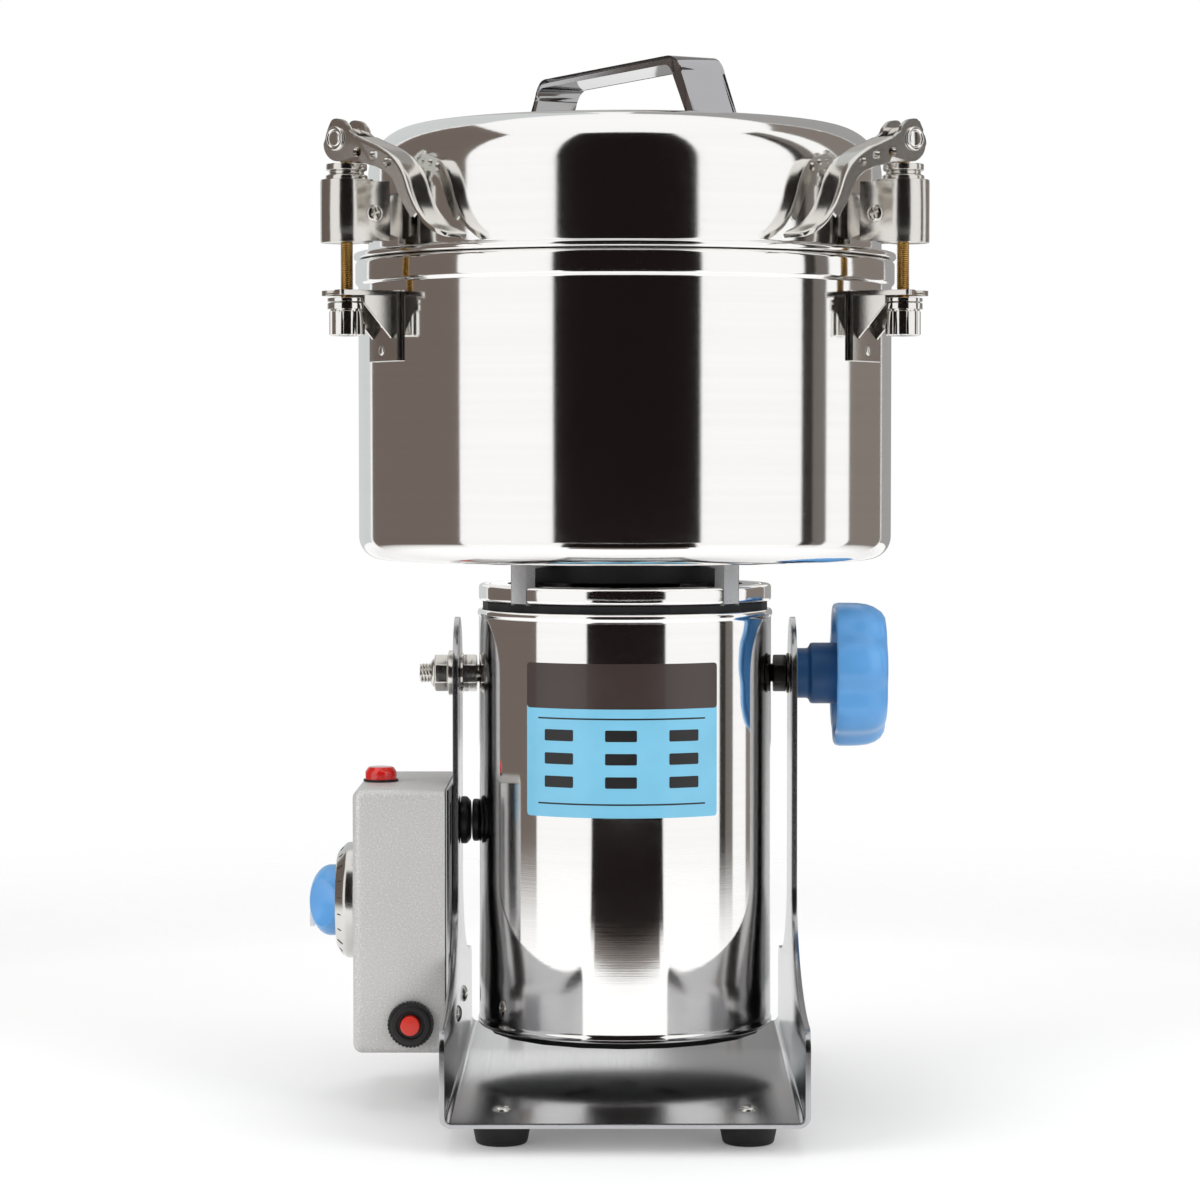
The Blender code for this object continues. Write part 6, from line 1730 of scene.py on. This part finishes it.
    def build_lever(self) -> None:
        """The pressed channel: a web that sweeps down to a flared tip, and two cheeks with cam heels."""
        samples = 6
        web = self.web(samples)
        half = self.lever_sheet / 2
        normals = []
        for n in range(len(web)):
            ahead = (web[min(n + 1, len(web) - 1)] - web[max(n - 1, 0)]).normalized()
            normals.append(Vector((-ahead.y, ahead.x)))
        cheek_end = self.lever_length * self.cheek_end
        rows = []
        for n, (point, normal) in enumerate(zip(web, normals)):
            along = min(1.0, max(0.0, (point.x - cheek_end) / (self.lever_length - cheek_end)))
            wide = self.lever_half + (self.tip_half - self.lever_half) * along
            if n >= len(web) - 3:
                wide -= (n - len(web) + 4) ** 2 * 0.28 * MM
            top, low = point + normal * half, point - normal * half
            across = [wide * share for share in (-1.0, -0.5, 0.0, 0.5, 1.0)]
            row = [(top.x, y, top.y) for y in across] + [(low.x, y, low.y) for y in reversed(across)]
            rows.append(row)
        lever = Form.grid(rows, loop=True).bevelled(0.35 * MM, 2)
        reach = [n for n, point in enumerate(web) if point.x < cheek_end]
        first = samples // 2
        bottom_edge = []
        for n in reach[first:]:
            share = (n - reach[first]) / (reach[-1] - reach[first])
            bottom_edge.append(web[n] - normals[n] * self.heel_millimetres * MM * (0.92 - 0.52 * share))
        outline = [tuple(p) for p in reversed(self.heel(16))] + [tuple(p) for p in bottom_edge]
        outline += [tuple(web[n]) for n in reversed(reach)]
        outline += arc((0.0, 0.0), self.head_radius, 20.0, 100.0, 14)
        for degrees in range(106, 150, 6):
            room = 5.6 * MM / abs(math.sin(math.radians(degrees + 120.0)))
            outline += arc((0.0, 0.0), min(self.head_radius, room), degrees, degrees + 1.0, 1)[:1]
        holes = [(self.lever_length * along, self.lever_drop * up) for along, up in self.hole_shares]
        reach = 4.0 * MM
        for side in (-1, 1):
            cheek = upright(outline, half).bevelled(0.3 * MM, 2)
            for x, z in holes:
                hole = Form.drum(self.hole_radius, -reach, reach, steps=28).turned(90.0, "X")
                cheek.cut(hole.moved(x, 0.0, z))
            cheek.cut(Form.drum(4.15 * MM, -reach, reach, steps=40).turned(90.0, "X"))
            lever.added(cheek.moved(0.0, side * (self.lever_half - half - 0.05 * MM)))
        self.fit_on("cam_lever", "lever", self.at_pin(lever), PRESSED, "cam_lever")

    def heel(self, samples: int) -> list[Vector]:
        """The cam's heel, whose reach falls evenly while the lever turns."""
        swing = math.radians(self.open_degrees)
        fall = self.heel_fall / swing
        points = []
        for step in range(samples + 1):
            turn = swing * step / samples
            facing = math.radians(-90.0) - turn
            out = self.heel_millimetres * MM - fall * turn
            along, across = math.cos(facing), math.sin(facing)
            points.append(Vector((along * out - across * fall, across * out + along * fall)))
        return points

    def build_nut(self) -> None:
        """The wide washer and the fluted thumb nut under the clip."""
        shelf = self.clip_top - self.shelf_sheet - self.nut_hang
        bore, wide, under = self.rod_radius + 0.4 * MM, self.washer_radius, shelf - self.washer_sheet
        section = eased([(bore, under), (wide, under), (wide, shelf), (bore, shelf)], 0.35 * MM, 3, True)
        washer = Form.lathe(section, 48, True).moved(self.rod_circle)
        self.fit_on("nut_washer", "washer", self.outward(washer), BRIGHT, "nut_washer")
        top = under - self.gap
        low = top - self.nut_height
        rings = (
            (low, 0.8, 0.9), (low + 0.5 * MM, 0.0, 0.9), (top - 3.4 * MM, 0.0, 0.9),
            (top - 3.1 * MM, 0.4, 0.0), (top - 2.7 * MM, 0.4, 0.0), (top - 2.4 * MM, -0.7, 0.0),
            (top - 0.3 * MM, -0.7, 0.0), (top, -0.3, 0.0),
        )
        flutes, steps = 8.0, 96
        rows = []
        for height, inset, depth in rings:
            row = []
            for step in range(steps):
                turn = FULL_TURN * step / steps
                out = self.nut_radius - inset * MM - max(0.0, math.cos(flutes * turn)) ** 4 * depth * MM
                row.append((out * math.cos(turn), out * math.sin(turn), height))
            rows.append(row)
        nut = Form.grid(rows, loop=True).cut(Form.drum(bore, low - MM, top + MM, steps=32))
        self.fit_on("thumb_nut", "nut", self.outward(nut.moved(self.rod_circle)), BRIGHT, "thumb_nut")


@dataclass
class CarriedNodes:
    """The nodes of the frame that are shown as they are, each with its finish."""

    def dress(self) -> None:
        """Gives every shown node its own finish."""
        finishes = {
            "motor_bottom_cover": BLACK_PLASTIC,
            "motor_top_bracket": BLACK_CASTING,
            "stator": CORE,
            "armature": CORE,
            "upper_bearing": TURNED,
            "lower_bearing": TURNED,
            "brush_yoke": BLACK_PLASTIC,
            "cooling_fan": GREY_CASTING,
            "shaft_seal": RUBBER,
            "lower_blade": BLADE_STEEL,
            "upper_blade": BLADE_STEEL,
            "blade_nut": PRESSED,
        }
        for name, finish in finishes.items():
            node = frame["nodes"][name]
            node.data.materials.clear()
            node.data.materials.append(finish.material())
            log.info("%s keeps its solid and gets %s", name, finish.name)


@dataclass
class Studio:
    """The pale floor, the soft lights, the dark flags that polished steel mirrors, and the camera."""

    camera_distance: float = 1.426
    camera_height: float = 0.258
    lens: float = 107.0
    pitch: float = -2.4
    shift_x: float = -0.0208
    floor_half: float = 3.0
    fade_start: float = 0.45
    fade_end: float = 0.95
    strip_lift: float = 0.004

    def build(self) -> None:
        """Sets up the studio."""
        self.build_world()
        self.build_floor()
        self.build_flags()
        self.build_lights()
        self.build_camera()
        bpy.context.scene.view_settings.view_transform = "Standard"

    def seen(self, sheet: Sheet) -> Value:
        """One where a ray comes from the camera, a mirror or clear glass."""
        paths = sheet.node("ShaderNodeLightPath", output="Is Camera Ray")
        node = paths.socket.node
        glossy = Value(sheet, node.outputs["Is Glossy Ray"])
        clear = Value(sheet, node.outputs["Is Transmission Ray"])
        return paths.larger(glossy).larger(clear)

    def build_world(self) -> None:
        """A white surround, softer where it only lights."""
        world = bpy.data.worlds.new("studio")
        world.use_nodes = True
        bpy.context.scene.world = world
        sheet = Sheet(world.node_tree)
        strength = self.seen(sheet) * 0.45 + 0.55
        sky = sheet.node("ShaderNodeBackground", None, {"Color": (1.0, 1.0, 1.0, 1.0), "Strength": strength})
        sheet.node("ShaderNodeOutputWorld", None, {"Surface": sky})

    def build_floor(self) -> None:
        """A wide pale floor that keeps the mill's shadow."""
        half = self.floor_half
        form = Form.block((-half, -half, -0.02), (half, half, 0.0))
        floor = form.linked("floor")
        form.mesh.free()
        made = bpy.data.materials.new("floor paper")
        made.use_nodes = True
        sheet = Sheet(made.node_tree)
        tooth = sheet.noise(sheet.place(), 700.0, 2.0)
        paper = sheet.node("ShaderNodeBsdfPrincipled", None, {
            "Base Color": sheet.mixed(tooth, (0.86, 0.86, 0.86), (0.90, 0.90, 0.90)),
            "Roughness": 0.9,
            "Specular IOR Level": 0.0,
            "Emission Color": (1.0, 1.0, 1.0, 1.0),
            "Emission Strength": self.seen(sheet) * 0.14,
        })
        far = sheet.node("ShaderNodeVectorMath", {"operation": "LENGTH"}, {0: sheet.place()}, "Value")
        clear = sheet.node("ShaderNodeBsdfTransparent")
        fade = far.ramp(self.fade_start, self.fade_end)
        faded = sheet.node("ShaderNodeMixShader", None, {0: fade, 1: paper, 2: clear})
        sheet.node("ShaderNodeOutputMaterial", None, {"Surface": faded})
        floor.data.materials.append(made)

    def panel(
        self, name: str, azimuth: float, width: float, low: float, high: float, distance: float, tone: Colour
    ) -> None:
        """A dark flag that only polished surfaces see.

        Args:
            name: Its name.
            azimuth: Its direction from the mill, in degrees to the right of the camera.
            width: Its width.
            low: The height of its lower edge.
            high: The height of its upper edge.
            distance: How far from the mill it stands.
            tone: Its colour as mirrored.
        """
        half = width / 2
        form = Form.grid([[(-half, -distance, z), (half, -distance, z)] for z in (low, high)])
        self.flag(name, form.turned(azimuth), tone)

    def strip(
        self, name: str, azimuth: float, half_angle: float, near: float, far: float, tone: Colour
    ) -> None:
        """A dark wedge close over the floor that only polished surfaces see.

        Args:
            name: Its name.
            azimuth: Its middle direction from the mill, in degrees to the right of the camera.
            half_angle: Half the angle that it spans.
            near: How far from the mill it starts.
            far: How far from the mill it ends.
            tone: Its colour as mirrored.
        """
        spread = math.tan(math.radians(half_angle))
        lift = self.strip_lift
        form = Form.grid([[(-out * spread, -out, lift), (out * spread, -out, lift)] for out in (near, far)])
        self.flag(name, form.turned(azimuth), tone)

    def flag(self, name: str, form: Form, tone: Colour) -> None:
        """Stages a flag of one plain tone that only mirror rays meet.

        Args:
            name: The flag's name.
            form: Its form.
            tone: Its tone.
        """
        made = form.linked(name)
        form.mesh.free()
        material = bpy.data.materials.new(name)
        material.use_nodes = True
        sheet = Sheet(material.node_tree)
        glow = sheet.node("ShaderNodeEmission", None, {"Color": opaque(tone), "Strength": 1.0})
        sheet.node("ShaderNodeOutputMaterial", None, {"Surface": glow})
        made.data.materials.append(material)
        made.visible_camera = False
        made.visible_diffuse = False
        made.visible_shadow = False
        made.visible_transmission = False

    def build_flags(self) -> None:
        """Flags behind the camera, beside and behind the mill, and low ones over the floor."""
        for name, azimuth, width, low, high, distance, tone in (
            ("flag_front", 1.0, 1.74, 0.02, 3.2, 1.50, ink(26, 21, 20)),
            ("flag_right_dark", 81.0, 0.16, -1.0, 2.4, 1.50, ink(50, 46, 44)),
            ("flag_right", 88.0, 0.21, -1.0, 2.4, 1.50, ink(113, 108, 104)),
            ("flag_right_far", 124.0, 0.86, -1.0, 2.4, 1.50, ink(130, 122, 116)),
            ("flag_left", -104.0, 1.75, -1.0, 2.4, 1.40, ink(112, 102, 96)),
            ("flag_back", 180.0, 2.4, 0.43, 1.7, 1.50, ink(182, 180, 178)),
            ("flag_back_left", -157.0, 1.0, 0.02, 2.4, 1.46, ink(206, 210, 210)),
            ("flag_back_right", 160.0, 1.0, 0.02, 2.4, 1.46, ink(158, 157, 156)),
        ):
            self.panel(name, azimuth, width, low, high, distance, tone)
        self.strip("flag_floor", 2.0, 27.0, 0.50, 1.50, ink(22, 17, 16))
        self.strip("flag_floor_edge", 2.0, 24.0, 0.41, 0.50, ink(120, 112, 108))

    def build_lights(self) -> None:
        """Two large softboxes in front and one above."""
        for name, place, size, power in (
            ("key_light", (-1.5, -1.25, 1.0), 1.3, 17.0),
            ("fill_light", (1.5, -1.25, 1.0), 1.3, 17.0),
            ("top_light", (0.0, 0.2, 2.1), 1.4, 12.0),
        ):
            data = bpy.data.lights.new(name, "AREA")
            data.size = size
            data.energy = power
            light = bpy.data.objects.new(name, data)
            bpy.context.scene.collection.objects.link(light)
            light.location = place
            aim = Vector((0.0, 0.0, 0.2)) - light.location
            light.rotation_euler = aim.to_track_quat("-Z", "Y").to_euler()
            light.visible_camera = False
            light.visible_glossy = False

    def build_camera(self) -> None:
        """The camera at the photograph's place."""
        data = bpy.data.cameras.new("camera")
        data.lens = self.lens
        data.sensor_width = 36.0
        data.shift_x = self.shift_x
        camera = bpy.data.objects.new("camera", data)
        bpy.context.scene.collection.objects.link(camera)
        camera.location = (AXIS.x, AXIS.y - self.camera_distance, self.camera_height)
        camera.rotation_euler = (math.radians(90.0 + self.pitch), 0.0, 0.0)
        bpy.context.scene.camera = camera


def main() -> None:
    """Builds the sub-assemblies in order, then the studio."""
    logging.basicConfig(level=logging.INFO, format="%(name)s: %(message)s")
    CarriedNodes().dress()
    Stand().build()
    ControlBox().build()
    MotorCase().build()
    LockKnob().build()
    Bowl().build()
    Lid().build()
    for name, direction, way in CLAMP_SIDES:
        Clamp(name=name, direction=direction, way=way).build()
    Studio().build()


if __name__ == "__main__":
    main()
